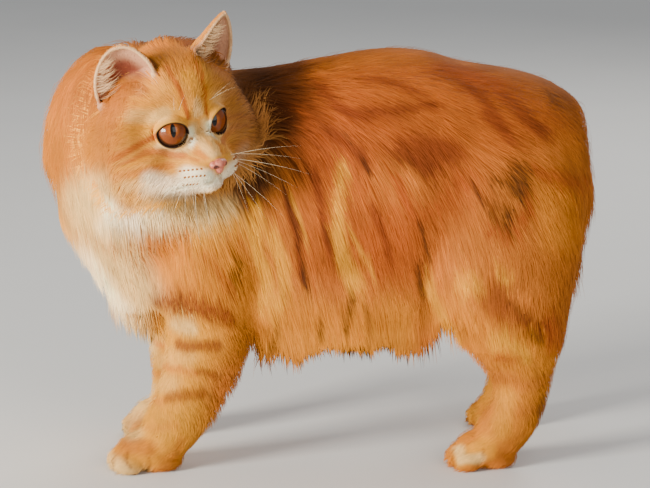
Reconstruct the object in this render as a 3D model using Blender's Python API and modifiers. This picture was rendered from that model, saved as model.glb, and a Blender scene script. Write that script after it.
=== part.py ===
"""A long-coated manx cat, standing side on with its head turned back over its left shoulder.

Metres, +Z up. The cat faces -X, its left side is towards -Y, and its soles rest on the floor at z = 0.
The shape is modelled whole, as a clay, out to the tips of the coat. It is then drawn in by the coat's
depth and parted with thin cuts into head, neck, torso, legs and paws, and locks of hair are fused to the
long-coated parts.
"""

import math

import bmesh
import bpy
import numpy as np
from mathutils import Matrix, Vector
from mathutils.bvhtree import BVHTree

# Driving sizes
RUMP_TOP = 0.297
WITHERS_TOP = 0.281
CHEST_FRONT = -0.166
RUMP_END = 0.194
BARREL_HALF_WIDTH = 0.075
FORE_TRACK = 0.045
HIND_TRACK = 0.054
EYE_RADIUS = 0.0120
SOCKET_RADIUS = 0.01255
GAP = 0.0003
# Locks of the long coat: width, length and thickness where widest, spacing of their roots
LOCK_SIZES = {
    "back": (0.035, 0.066, 0.0060, 0.034),
    "flank": (0.038, 0.080, 0.0085, 0.037),
    "fringe": (0.031, 0.060, 0.0100, 0.029),
    "bib": (0.028, 0.044, 0.0085, 0.028),
    "rump": (0.034, 0.064, 0.0080, 0.030),
    "ruff": (0.033, 0.062, 0.0085, 0.033),
    "breeches": (0.031, 0.054, 0.0075, 0.033),
}
COAT_SEED = 11
CORE_SHARE = 0.5
ROOT_CANDIDATES = 7000
BODY_TRIANGLES = 1700
HEAD_TRIANGLES = 1000
PAW_TRIANGLES = 800
SHARP_EDGE = math.radians(50)
BODY_VOXEL = 0.0030
HEAD_VOXEL = 0.0012
PAW_VOXEL = 0.0014
NOSE_VOXEL = 0.0006

# The head's own frame: +X to the nose, +Y to its left, +Z to its crown
HEAD_PLACE = Vector((-0.1095, -0.0750, 0.2590))
HEAD_TURN = math.radians(-53.7)
HEAD_NOD = math.radians(10.4)
HEAD_TILT = math.radians(7.8)
HEAD = (
    Matrix.Translation(HEAD_PLACE)
    @ Matrix.Rotation(HEAD_TURN, 4, "Z")
    @ Matrix.Rotation(HEAD_NOD, 4, "Y")
    @ Matrix.Rotation(HEAD_TILT, 4, "X")
)
HEAD_BACK = -0.026
EYE_CENTRE = (0.0177, 0.0168, 0.0031)
EYE_OUTWARD = math.radians(24.0)
EYE_UPWARD = math.radians(4.0)
EYE_HALF_WIDTH = 0.0104
EYE_HALF_HEIGHT = 0.0090
LID_RISE = 0.0014


# Colour and roughness of each kind of part
COLOURS = {
    "head": ((0.62, 0.33, 0.13), 0.85),
    "neck": ((0.66, 0.38, 0.17), 0.85),
    "torso": ((0.48, 0.19, 0.055), 0.85),
    "foreleg": ((0.62, 0.36, 0.15), 0.85),
    "forepaw": ((0.72, 0.50, 0.28), 0.85),
    "thigh": ((0.52, 0.22, 0.065), 0.85),
    "shank": ((0.58, 0.30, 0.10), 0.85),
    "hindpaw": ((0.68, 0.44, 0.20), 0.85),
    "ear": ((0.60, 0.36, 0.24), 0.75),
    "eye": ((0.36, 0.12, 0.025), 0.08),
    "nose": ((0.55, 0.22, 0.16), 0.45),
}


def smooth_stations(stations, steps):
    """Catmull-Rom points through rows of numbers, with steps between each pair."""
    rows = np.array(stations, float)
    rows = np.vstack([2 * rows[0] - rows[1], rows, 2 * rows[-1] - rows[-2]])
    t = np.linspace(0, 1, steps, endpoint=False)[:, None]
    found = []
    for a, b, c, d in zip(rows, rows[1:], rows[2:], rows[3:]):
        found.append(
            0.5 * (2 * b + (c - a) * t + (2 * a - 5 * b + 4 * c - d) * t**2
                   + (3 * b - a - 3 * c + d) * t**3)
        )
    found.append(rows[-2:-1])
    return np.vstack(found)


def loft(stations, across, steps=4, sides=28):
    """A closed tube through stations of (x, y, z, radius across, radius along the third axis)."""
    rows = smooth_stations(stations, steps)
    centres = rows[:, :3]
    radii = np.maximum(rows[:, 3:5], 0.002)
    run = np.gradient(centres, axis=0)
    run /= np.linalg.norm(run, axis=1)[:, None]
    across = np.array(across, float)
    side = across - run * (run @ across)[:, None]
    side /= np.linalg.norm(side, axis=1)[:, None]
    third = np.cross(run, side)
    angle = np.linspace(0, 2 * math.pi, sides, endpoint=False)
    mesh = bmesh.new()
    rings = []
    for c, s, h, (ra, rb) in zip(centres, side, third, radii):
        ring = c + np.outer(np.cos(angle) * ra, s) + np.outer(np.sin(angle) * rb, h)
        rings.append([mesh.verts.new(p) for p in ring])
    for low, high in zip(rings, rings[1:]):
        for i in range(sides):
            j = (i + 1) % sides
            mesh.faces.new((low[i], low[j], high[j], high[i]))
    mesh.faces.new(rings[0][::-1])
    mesh.faces.new(rings[-1])
    bmesh.ops.recalc_face_normals(mesh, faces=mesh.faces)
    return mesh


def ellipsoid(centre, radii, turn=0.0, axis="Y", segments=32):
    """A closed ball stretched to three radii, turned about an axis through its centre."""
    mesh = bmesh.new()
    place = Matrix.Translation(centre) @ Matrix.Rotation(turn, 4, axis) @ Matrix.Diagonal((*radii, 1))
    bmesh.ops.create_uvsphere(mesh, u_segments=segments, v_segments=segments * 5 // 8, radius=1.0, matrix=place)
    return mesh


def ball(centre, radius):
    """A closed round ball of even triangles."""
    mesh = bmesh.new()
    bmesh.ops.create_icosphere(mesh, subdivisions=3, radius=radius)
    bmesh.ops.translate(mesh, verts=mesh.verts, vec=centre)
    return mesh


def both_sides(centre, radii, turn=0.0, axis="Y"):
    """An ellipsoid and its mirror image across y = 0."""
    x, y, z = centre
    other = turn if axis == "Y" else -turn
    return [ellipsoid((x, y, z), radii, turn, axis), ellipsoid((x, -y, z), radii, other, axis)]


def object_from(mesh, name, collection=None):
    """A new object that holds a bmesh in triangles. The bmesh is freed."""
    bmesh.ops.triangulate(mesh, faces=mesh.faces)
    data = bpy.data.meshes.new(name)
    mesh.to_mesh(data)
    mesh.free()
    made = bpy.data.objects.new(name, data)
    (collection or bpy.context.scene.collection).objects.link(made)
    return made


def applied(obj):
    """The object with its modifiers applied."""
    graph = bpy.context.evaluated_depsgraph_get()
    data = bpy.data.meshes.new_from_object(obj.evaluated_get(graph))
    obj.modifiers.clear()
    obj.data = data
    return obj


def clay(name, pieces, voxel, smoothing):
    """One closed surface round overlapping pieces, its creases smoothed away."""
    joined = bmesh.new()
    for piece in pieces:
        data = bpy.data.meshes.new("piece")
        piece.to_mesh(data)
        piece.free()
        joined.from_mesh(data)
        bpy.data.meshes.remove(data)
    made = object_from(joined, name)
    remesh = made.modifiers.new("one surface", "REMESH")
    remesh.mode = "VOXEL"
    remesh.voxel_size = voxel
    smooth = made.modifiers.new("soft creases", "SMOOTH")
    smooth.factor = 0.5
    smooth.iterations = smoothing
    return applied(made)


def points_of(obj):
    """The object's vertices and its vertex normals, as arrays."""
    count = len(obj.data.vertices)
    points = np.empty(count * 3)
    normals = np.empty(count * 3, np.float32)
    obj.data.vertices.foreach_get("co", points)
    obj.data.vertex_normals.foreach_get("vector", normals)
    return points.reshape(-1, 3), normals.reshape(-1, 3).astype(float)


def set_points(obj, points):
    """Moves the object's vertices."""
    obj.data.vertices.foreach_set("co", points.ravel())
    obj.data.update()


def step(value, low, high):
    """0 below low, 1 above high, smooth between."""
    t = np.clip((value - low) / (high - low), 0, 1)
    return t * t * (3 - 2 * t)


def torso_pieces():
    """The trunk, its shoulders and its rounded rump."""
    # x, y, z of the middle, half width, half height
    trunk = [
        (CHEST_FRONT, 0, 0.160, 0.022, 0.024),
        (-0.156, 0, 0.160, 0.040, 0.050),
        (-0.138, 0, 0.168, 0.052, 0.068),
        (-0.112, 0, 0.178, 0.058, 0.078),
        (-0.078, 0, 0.183, 0.060, 0.082),
        (-0.038, 0, 0.184, 0.064, 0.087),
        (0.002, 0, 0.191, 0.071, 0.095),
        (0.043, 0, 0.198, BARREL_HALF_WIDTH, RUMP_TOP - 0.198),
        (0.088, 0, 0.200, BARREL_HALF_WIDTH, 0.093),
        (0.124, 0, 0.204, 0.071, 0.079),
        (0.155, 0, 0.200, 0.062, 0.071),
        (0.176, 0, 0.197, 0.050, 0.060),
        (0.188, 0, 0.196, 0.036, 0.045),
        (RUMP_END, 0, 0.197, 0.016, 0.020),
    ]
    spine = [
        (-0.105, 0, 0.247, 0.030, 0.032),
        (-0.078, 0, 0.251, 0.034, WITHERS_TOP - 0.251),
        (-0.038, 0, 0.253, 0.038, 0.031),
        (0.002, 0, 0.257, 0.042, 0.034),
        (0.043, 0, 0.259, 0.046, RUMP_TOP - 0.259),
    ]
    # The curtain of long hair along each side of the belly
    curtain = [
        (-0.074, 0.042, 0.128, 0.006, 0.008),
        (-0.054, 0.046, 0.121, 0.013, 0.023),
        (-0.014, 0.050, 0.118, 0.016, 0.027),
        (0.026, 0.052, 0.117, 0.016, 0.027),
        (0.060, 0.050, 0.121, 0.014, 0.023),
        (0.082, 0.046, 0.130, 0.006, 0.008),
    ]
    pieces = [loft(trunk, (0, 1, 0)), loft(spine, (0, 1, 0))]
    for side in (-1, 1):
        pieces.append(loft([(x, side * y, z, w, h) for x, y, z, w, h in curtain], (0, 1, 0)))
    pieces += both_sides((-0.090, 0.040, 0.167), (0.040, 0.025, 0.062), math.radians(14))
    pieces += both_sides((0.118, 0.040, 0.190), (0.066, 0.040, 0.060))
    return pieces


def neck_pieces():
    """The neck, bent up and back towards the turned head, and the ruff in front of it."""
    run = [
        (-0.132, 0.000, 0.147, 0.046, 0.034),
        (-0.140, 0.000, 0.175, 0.054, 0.050),
        (-0.147, -0.006, 0.205, 0.056, 0.054),
        (-0.147, -0.016, 0.237, 0.055, 0.055),
        (-0.136, -0.030, 0.263, 0.052, 0.052),
        (-0.118, -0.042, 0.280, 0.044, 0.034),
    ]
    return [
        loft(run, (0.3, 1, 0)),
        ellipsoid((-0.110, -0.010, 0.232), (0.050, 0.050, 0.046)),
        ellipsoid((-0.130, -0.046, 0.203), (0.046, 0.042, 0.036)),
        ellipsoid((-0.106, -0.042, 0.273), (0.042, 0.040, 0.040)),
        ellipsoid((-0.138, -0.004, 0.136), (0.024, 0.034, 0.026)),
    ]


def foreleg(side):
    """A foreleg from shoulder to wrist. The near one reaches further forward than the far one."""
    y = side * FORE_TRACK
    if side < 0:
        run = [(-0.088, 0.200, 0.036), (-0.087, 0.150, 0.040), (-0.085, 0.112, 0.034), (-0.089, 0.085, 0.0310),
               (-0.097, 0.063, 0.0265), (-0.107, 0.042, 0.0240), (-0.117, 0.026, 0.0215),
               (-0.121, 0.016, 0.0190)]
    else:
        run = [(-0.090, 0.200, 0.036), (-0.094, 0.150, 0.038), (-0.099, 0.112, 0.033), (-0.102, 0.085, 0.0295),
               (-0.104, 0.063, 0.0260), (-0.105, 0.042, 0.0230), (-0.109, 0.026, 0.0210),
               (-0.112, 0.016, 0.0190)]
    inset = [0.018, 0.004, 0, 0, 0, 0, 0, 0]
    lateral = [0.020, 0.029, 0.0265, 0.0245, 0.0215, 0.0205, 0.0205, 0.0195]
    return loft(
        [(x, y - side * i, z, w, r) for (x, z, r), i, w in zip(run, inset, lateral)], (0, 1, 0)
    )


def hind_leg(side):
    """A hind leg from hip to hock and down to the foot. The near one stands further forward."""
    y = side * HIND_TRACK
    if side < 0:
        run = [(0.118, 0.200, 0.060), (0.121, 0.170, 0.0600), (0.122, 0.148, 0.0570),
               (0.126, 0.125, 0.0500), (0.131, 0.103, 0.0415), (0.135, 0.085, 0.0335),
               (0.1375, 0.068, 0.0250), (0.1375, 0.055, 0.0215), (0.133, 0.040, 0.0210),
               (0.124, 0.026, 0.0205), (0.116, 0.016, 0.0180)]
    else:
        run = [(0.118, 0.200, 0.060), (0.123, 0.170, 0.0580), (0.126, 0.148, 0.0540),
               (0.131, 0.125, 0.0465), (0.137, 0.103, 0.0385), (0.142, 0.085, 0.0305),
               (0.1450, 0.068, 0.0220), (0.1460, 0.055, 0.0195), (0.145, 0.040, 0.0190),
               (0.142, 0.026, 0.0190), (0.138, 0.016, 0.0170)]
    inset = [0.014, 0.008, 0.004, 0.002, 0, 0, 0, 0, 0, 0, 0]
    lateral = [0.036, 0.036, 0.034, 0.031, 0.027, 0.0225, 0.0195, 0.018, 0.018, 0.0185, 0.018]
    return loft(
        [(x, y - side * i, z, w, r) for (x, z, r), i, w in zip(run, inset, lateral)], (0, 1, 0)
    )


PAW_SINK = 0.0021
PAWS = {
    "forepaw_left": (-0.1285, -FORE_TRACK, 1.0),
    "forepaw_right": (-0.1180, FORE_TRACK, 1.0),
    "hindpaw_left": (0.1130, -HIND_TRACK, 0.94),
    "hindpaw_right": (0.1410, HIND_TRACK, 0.94),
}
TOE_SPREAD = (-0.0150, -0.0053, 0.0053, 0.0150)
TOE_REACH = (0.0165, 0.0210, 0.0210, 0.0165)


def paw_pieces(name):
    """A paw: its round back, its pad and four toes."""
    x, y, size = PAWS[name]

    def placed(dx, dy, dz, rx, ry, rz):
        return ellipsoid((x - dx * size, y + dy, dz * size - PAW_SINK), (rx * size, ry, rz * size))

    pieces = [placed(0.002, 0, 0.017, 0.024, 0.0205, 0.0165), placed(-0.006, 0, 0.008, 0.018, 0.0170, 0.009)]
    for dy, dx in zip(TOE_SPREAD, TOE_REACH):
        pieces.append(placed(dx, dy, 0.0095, 0.0115, 0.0066, 0.0100))
        pieces.append(placed(dx - 0.010, dy * 0.9, 0.0160, 0.0130, 0.0064, 0.0090))
    return pieces


# Marks on the face and skull out to the tips of the short coat, in the head's frame, for its left half
HEAD_CORE = np.array((-0.006, 0.0, -0.004))
FACE_MARKS = [
    (-0.010, 0.000, 0.0455), (0.006, 0.000, 0.0425), (0.018, 0.000, 0.0350), (0.0275, 0.000, 0.0240),
    (0.0330, 0.000, 0.0130), (0.0370, 0.000, 0.0040), (0.0415, 0.000, -0.0035), (0.0480, 0.000, -0.0095),
    (0.0510, 0.000, -0.0135), (0.0500, 0.000, -0.0180), (0.0485, 0.000, -0.0230), (0.0470, 0.000, -0.0280),
    (0.0435, 0.000, -0.0335), (0.0370, 0.000, -0.0385), (0.0220, 0.000, -0.0430), (0.0040, 0.000, -0.0480),
    (0.0400, 0.0075, -0.0070), (0.0345, 0.0050, 0.0030), (0.0300, 0.0090, 0.0140), (0.0245, 0.0125, 0.0240),
    (0.0440, 0.0100, -0.0130), (0.0465, 0.0110, -0.0200), (0.0420, 0.0175, -0.0240), (0.0350, 0.0200, -0.0140),
    (0.0390, 0.0130, -0.0315), (0.0300, 0.0230, -0.0330), (0.0320, 0.0270, -0.0200), (0.0240, 0.0360, -0.0080),
    (0.0250, 0.0450, -0.0220), (0.0165, 0.0590, -0.0200), (0.0080, 0.0675, -0.0190), (-0.0080, 0.0690, -0.0170),
    (-0.0250, 0.0600, -0.0120), (0.0120, 0.0520, -0.0400), (0.0150, 0.0300, -0.0440), (-0.0020, 0.0600, -0.0400),
    (0.0150, 0.0480, 0.0000), (0.0050, 0.0560, 0.0080), (-0.0120, 0.0560, 0.0160), (0.0060, 0.0460, 0.0210),
    (0.0190, 0.0300, 0.0190), (0.0110, 0.0330, 0.0290), (0.0050, 0.0200, 0.0400), (-0.0080, 0.0400, 0.0340),
    (-0.0350, 0.000, 0.0330), (-0.0480, 0.000, 0.0080), (-0.0300, 0.0330, 0.0280), (-0.0400, 0.0350, 0.0000),
    (-0.0420, 0.000, -0.0250), (-0.0200, 0.000, -0.0480), (-0.0280, 0.0400, -0.0350),
]


def face_marks():
    """All marks of the head's surface: those of both halves, and rings just outside the lids."""
    marks = []
    for x, y, z in FACE_MARKS:
        marks.append((x, y, z))
        if y > 0:
            marks.append((x, -y, z))
    around = np.linspace(0, 2 * math.pi, 10, endpoint=False)
    for side in (1, -1):
        ring = on_eye(side, around, 1.40, EYE_RADIUS + LID_RISE)
        marks.extend(p for p in ring if p[1] * side > 0.010)
        marks.extend(on_eye(side, around[:1], 0.0, EYE_RADIUS + LID_RISE))
    return np.array(marks)


def head_shell():
    """A closed surface about the head's core that passes smoothly through the marks."""
    marks = face_marks() - HEAD_CORE
    reach = np.linalg.norm(marks, axis=1)
    ways = marks / reach[:, None]

    def kernel(a, b):
        apart = np.linalg.norm(a[:, None] - b[None], axis=2)
        return apart**2 * np.log(apart + 1e-9)

    def flat(a):
        return np.hstack([a, np.ones((len(a), 1))])

    count = len(ways)
    system = np.zeros((count + 4, count + 4))
    system[:count, :count] = kernel(ways, ways) + 0.002 * np.eye(count)
    system[:count, count:] = flat(ways)
    system[count:, :count] = flat(ways).T
    weights = np.linalg.solve(system, np.append(reach, (0, 0, 0, 0)))
    mesh = bmesh.new()
    bmesh.ops.create_icosphere(mesh, subdivisions=6, radius=1.0)
    places = np.array([v.co for v in mesh.verts])
    places /= np.linalg.norm(places, axis=1)[:, None]
    radius = kernel(places, ways) @ weights[:count] + flat(places) @ weights[count:]
    for vertex, place in zip(mesh.verts, HEAD_CORE + places * radius[:, None]):
        vertex.co = place
    return mesh


def head_pieces():
    """The head in its own frame: the shell, the whisker pads and the chin."""
    pieces = [head_shell()]
    pieces += both_sides((0.0395, 0.0098, -0.0205), (0.0120, 0.0112, 0.0090))
    pieces.append(ellipsoid((0.0370, 0, -0.0315), (0.0110, 0.0100, 0.0070)))
    return pieces


def eye_frame(side):
    """Centre, outward axis, sideways and upward directions of an eye, in the head's frame."""
    x, y, z = EYE_CENTRE
    turn = Matrix.Rotation(side * EYE_OUTWARD, 3, "Z") @ Matrix.Rotation(-EYE_UPWARD, 3, "Y")
    centre = np.array((x, side * y, z))
    return centre, *(np.array(turn @ Vector(v)) for v in ((1, 0, 0), (0, side, 0), (0, 0, 1)))


def lid_angle(around):
    """How far from the eye's axis the lids' edge lies, in radians, at an angle round the axis."""
    wide = math.asin(EYE_HALF_WIDTH / EYE_RADIUS)
    high = math.asin(EYE_HALF_HEIGHT / EYE_RADIUS)
    c, s = np.cos(around), np.sin(around)
    oval = 1 / np.sqrt((c / wide) ** 2 + (s / high) ** 2)
    inner_corner = 0.13 * np.exp(-(((around - math.radians(200)) / 0.24) ** 2))
    outer_corner = 0.05 * np.exp(-((np.angle(np.exp(1j * (around - 0.15))) / 0.25) ** 2))
    return oval * (1 + inner_corner + outer_corner)


def on_eye(side, around, share, radius):
    """Points at shares of the lids' angle and at radii from the eye's centre, in the head's frame."""
    centre, axis, outward, upward = eye_frame(side)
    tilt = lid_angle(around) * share
    flat = np.outer(np.cos(around), outward) + np.outer(np.sin(around), upward)
    return centre + radius * (np.cos(tilt)[:, None] * axis + np.sin(tilt)[:, None] * flat)


def ring_mesh(rings, closed_section):
    """Quads between rings of points that each run all the way round."""
    mesh = bmesh.new()
    rows = [[mesh.verts.new(p) for p in ring] for ring in rings]
    pairs = list(zip(rows, rows[1:] + rows[:1])) if closed_section else list(zip(rows, rows[1:]))
    for low, high in pairs:
        for i in range(len(low)):
            j = (i + 1) % len(low)
            mesh.faces.new((low[i], low[j], high[j], high[i]))
    if not closed_section:
        mesh.faces.new(rows[0])
        mesh.faces.new(rows[-1])
    bmesh.ops.recalc_face_normals(mesh, faces=mesh.faces)
    return mesh


LID_SECTION = ((1.00, 0.00042), (0.975, 0.0011), (1.03, 0.0017), (1.15, 0.0019), (1.34, 0.0012),
               (1.42, 0.0009), (1.22, 0.00042))


def lids(side, sides=18):
    """The ring of both lids round an eye: share of the lids' angle, and height over the eyeball."""
    around = np.linspace(0, 2 * math.pi, sides, endpoint=False)
    return ring_mesh([on_eye(side, around, share, EYE_RADIUS + rise) for share, rise in LID_SECTION], True)


def eye_opening(side, sides=18):
    """The almond-shaped plug that opens the face in front of an eye."""
    around = np.linspace(0, 2 * math.pi, sides, endpoint=False)
    return ring_mesh([on_eye(side, around, 1.12, EYE_RADIUS * 0.6), on_eye(side, around, 1.12, EYE_RADIUS * 1.9)],
                     False)


def sculpt_eyes(points):
    """Draws the face round each eye to the level of its lids."""
    for side in (1, -1):
        centre, axis = eye_frame(side)[:2]
        offset = points - centre
        distance = np.linalg.norm(offset, axis=1)
        tilt = np.arccos(np.clip(offset @ axis / distance, -1, 1))
        near = step(-tilt, -1.50, -1.22) * step(-distance, -0.021, -0.0165)
        wanted = EYE_RADIUS + LID_RISE
        points = centre + offset * (1 + near * (wanted / distance - 1))[:, None]
    return points


MOUTH_GROOVE = 0.0008
MOUTH_CORNER = (0.0270, 0.0185, -0.0300)


def mouth_line():
    """The philtrum and the line between the lips, from one corner to the other, in the head's frame."""
    half = [(0.0500, 0.0012, -0.0245), (0.0490, 0.0050, -0.0290), (0.0440, 0.0105, -0.0305),
            (0.0360, 0.0155, -0.0300), MOUTH_CORNER]
    left = smooth_stations(half, 3)
    return np.vstack([left[::-1], left * (1, -1, 1)])


EAR_THICKNESS = 0.0018
EAR_SINK = 0.018
# Middle of the root, direction of rise, height, half width, cup, outward turn in degrees, bluntness of
# the tip, fullness half way up
EARS = {
    1: ((-0.0060, 0.0320, 0.0310), (0.157, 0.46, 0.89), 0.0385, 0.0205, 0.0130, 14.0, 0.80, -0.04),
    -1: ((-0.0070, -0.0350, 0.0260), (0.08, -0.20, 0.95), 0.0345, 0.0200, 0.0130, 32.0, 0.50, 0.12),
}


def ear_points(side, rows=9, columns=9):
    """The ear as a sheet: rows from its root to its tip, columns from its inner to its outer edge."""
    place, rise, height, half_width, depth, face, blunt, full = EARS[side]
    rise = np.array(rise) / np.linalg.norm(rise)
    face = math.radians(face)
    ahead = np.array((math.cos(face), side * math.sin(face), 0.0))
    ahead -= rise * (ahead @ rise)
    ahead /= np.linalg.norm(ahead)
    across = np.cross(rise, ahead) * -side
    found = []
    levels = np.sin(np.linspace(0, math.pi / 2, rows)) ** 0.9
    for v in np.append(-EAR_SINK / height, levels):
        up = max(v, 0)
        width = half_width * max(1 - up**2.0, 0.0) ** blunt * (1 + full * math.sin(math.pi * up))
        cup = depth * (1 - 0.82 * up**1.2)
        angle = np.radians(np.linspace(-100, 100, columns))
        lean = 0.006 * up**2
        found.append(
            np.array(place) + rise * (v * height) - ahead * lean
            + np.outer(np.sin(angle) * width, across) - np.outer(np.cos(angle) * cup, ahead)
        )
    return found


def ear(side):
    """An open sheet that Solidify turns into the ear's shell."""
    mesh = bmesh.new()
    rows = [[mesh.verts.new(p) for p in row] for row in ear_points(side)]
    for low, high in zip(rows, rows[1:]):
        for i in range(len(low) - 1):
            mesh.faces.new((low[i], low[i + 1], high[i + 1], high[i]))
    bmesh.ops.remove_doubles(mesh, verts=mesh.verts, dist=0.0004)
    bmesh.ops.recalc_face_normals(mesh, faces=mesh.faces)
    return mesh


def ear_bed(side):
    """The room that an ear takes up, its cup included, with the gap round it."""
    mesh = bmesh.new()
    rows = [[mesh.verts.new(p) for p in row] for row in ear_points(side)[:-2]]
    for low, high in zip(rows, rows[1:]):
        for i in range(len(low)):
            j = (i + 1) % len(low)
            mesh.faces.new((low[i], low[j], high[j], high[i]))
    mesh.faces.new(rows[0])
    mesh.faces.new(rows[-1])
    bmesh.ops.recalc_face_normals(mesh, faces=mesh.faces)
    room = object_from(mesh, "ear room")
    bed = grown(room, "ear bed", EAR_THICKNESS / 2 + 2 * GAP)
    bpy.data.objects.remove(room)
    return bed


def nose_pieces():
    """The nose leather: its middle, its two wings and the point above the lip."""
    pieces = [ellipsoid((0.0505, 0, -0.0140), (0.0040, 0.0056, 0.0042))]
    pieces.append(ellipsoid((0.0500, 0, -0.0180), (0.0036, 0.0030, 0.0046)))
    pieces += both_sides((0.0490, 0.0045, -0.0152), (0.0042, 0.0038, 0.0036))
    return pieces


def nostril(side):
    """The cutter of one nostril, which rises and turns outwards."""
    return ellipsoid((0.0526, side * 0.0042, -0.0156), (0.0024, 0.0019, 0.0010), side * math.radians(30), "X", 8)


def convex(planes, reach=0.6):
    """A closed convex block: a large cube cut back by planes given as (point, outward direction)."""
    mesh = bmesh.new()
    bmesh.ops.create_cube(mesh, size=2 * reach)
    for point, way in planes:
        everything = mesh.verts[:] + mesh.edges[:] + mesh.faces[:]
        cut = bmesh.ops.bisect_plane(mesh, geom=everything, plane_co=point, plane_no=way, clear_outer=True)
        edges = [e for e in cut["geom_cut"] if isinstance(e, bmesh.types.BMEdge)]
        bmesh.ops.contextual_create(mesh, geom=edges)
    bmesh.ops.recalc_face_normals(mesh, faces=mesh.faces)
    return mesh


def copied(obj, name):
    """A second object with its own copy of the mesh."""
    twin = obj.copy()
    twin.data = obj.data.copy()
    twin.name = name
    bpy.context.scene.collection.objects.link(twin)
    return twin


def grown(obj, name, by):
    """A copy of an object swollen along its normals."""
    twin = copied(obj, name)
    points, normals = points_of(twin)
    set_points(twin, points + normals * by)
    return twin


def combined(obj, other, operation, solver="MANIFOLD"):
    """The object joined with, cut by or kept within another, applied. The other object is removed."""
    modifier = obj.modifiers.new(operation, "BOOLEAN")
    modifier.object = other
    modifier.operation = operation
    modifier.solver = solver
    applied(obj)
    bpy.data.objects.remove(other)
    return obj


def lightened(obj, triangles):
    """The object's surface in about a number of triangles."""
    now = sum(len(p.vertices) - 2 for p in obj.data.polygons)
    if now > triangles:
        modifier = obj.modifiers.new("lighter", "DECIMATE")
        modifier.ratio = triangles / now
        modifier.use_collapse_triangulate = True
        applied(obj)
    return obj


def largest_piece(obj):
    """Keeps the largest closed surface of an object."""
    mesh = bmesh.new()
    mesh.from_mesh(obj.data)
    seen = set()
    best = []
    for face in mesh.faces:
        if face in seen:
            continue
        group = [face]
        seen.add(face)
        for one in group:
            for edge in one.edges:
                for other in edge.link_faces:
                    if other not in seen:
                        seen.add(other)
                        group.append(other)
        if sum(f.calc_area() for f in group) > sum(f.calc_area() for f in best):
            best = group
    keep = set(best)
    bmesh.ops.delete(mesh, geom=[f for f in mesh.faces if f not in keep], context="FACES")
    bmesh.ops.triangulate(mesh, faces=mesh.faces)
    mesh.to_mesh(obj.data)
    mesh.free()
    return obj


def tube(points, radius, sides=8):
    """A closed round rod along a line of points."""
    rows = [(*p, radius, radius) for p in points]
    return loft(rows, (0.05, 0.1, 1), steps=1, sides=sides)


# Where the body is parted: a point on each cut and the way out of the lower or outer part
NECK_CUT = (Vector((-0.1400, 0.0, 0.2205)), Vector((-0.80, 0.0, 0.60)).normalized())
FORELEG_CUT = 0.101
FORELEG_BEHIND = -0.030
THIGH_CUT = 0.148
THIGH_FRONT = 0.058
SHANK_CUT = 0.086
FOREPAW_CUT = 0.034
HINDPAW_CUT = 0.040
LEG_PARTS = (
    ("foreleg", FORELEG_CUT, FOREPAW_CUT, -0.6, FORELEG_BEHIND),
    ("thigh", THIGH_CUT, SHANK_CUT, THIGH_FRONT, 0.6),
    ("shank", SHANK_CUT, HINDPAW_CUT, THIGH_FRONT, 0.6),
)
PAW_HEIGHT = {"forepaw": FOREPAW_CUT, "hindpaw": HINDPAW_CUT}


def block(low, high, shrink=0.0):
    """A box between two corners, each face drawn in by a distance."""
    mesh = bmesh.new()
    bmesh.ops.create_cube(mesh, size=1.0)
    for vertex in mesh.verts:
        for i in range(3):
            near = low[i] + shrink if vertex.co[i] < 0 else high[i] - shrink
            vertex.co[i] = near
    return mesh


def leg_block(top, bottom, front, back, side, shrink):
    """The box that holds one part of a left (-1) or right (1) leg."""
    y = (-0.4, 0.0) if side < 0 else (0.0, 0.4)
    return block((front, y[0], bottom), (back, y[1], top), shrink)


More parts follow.
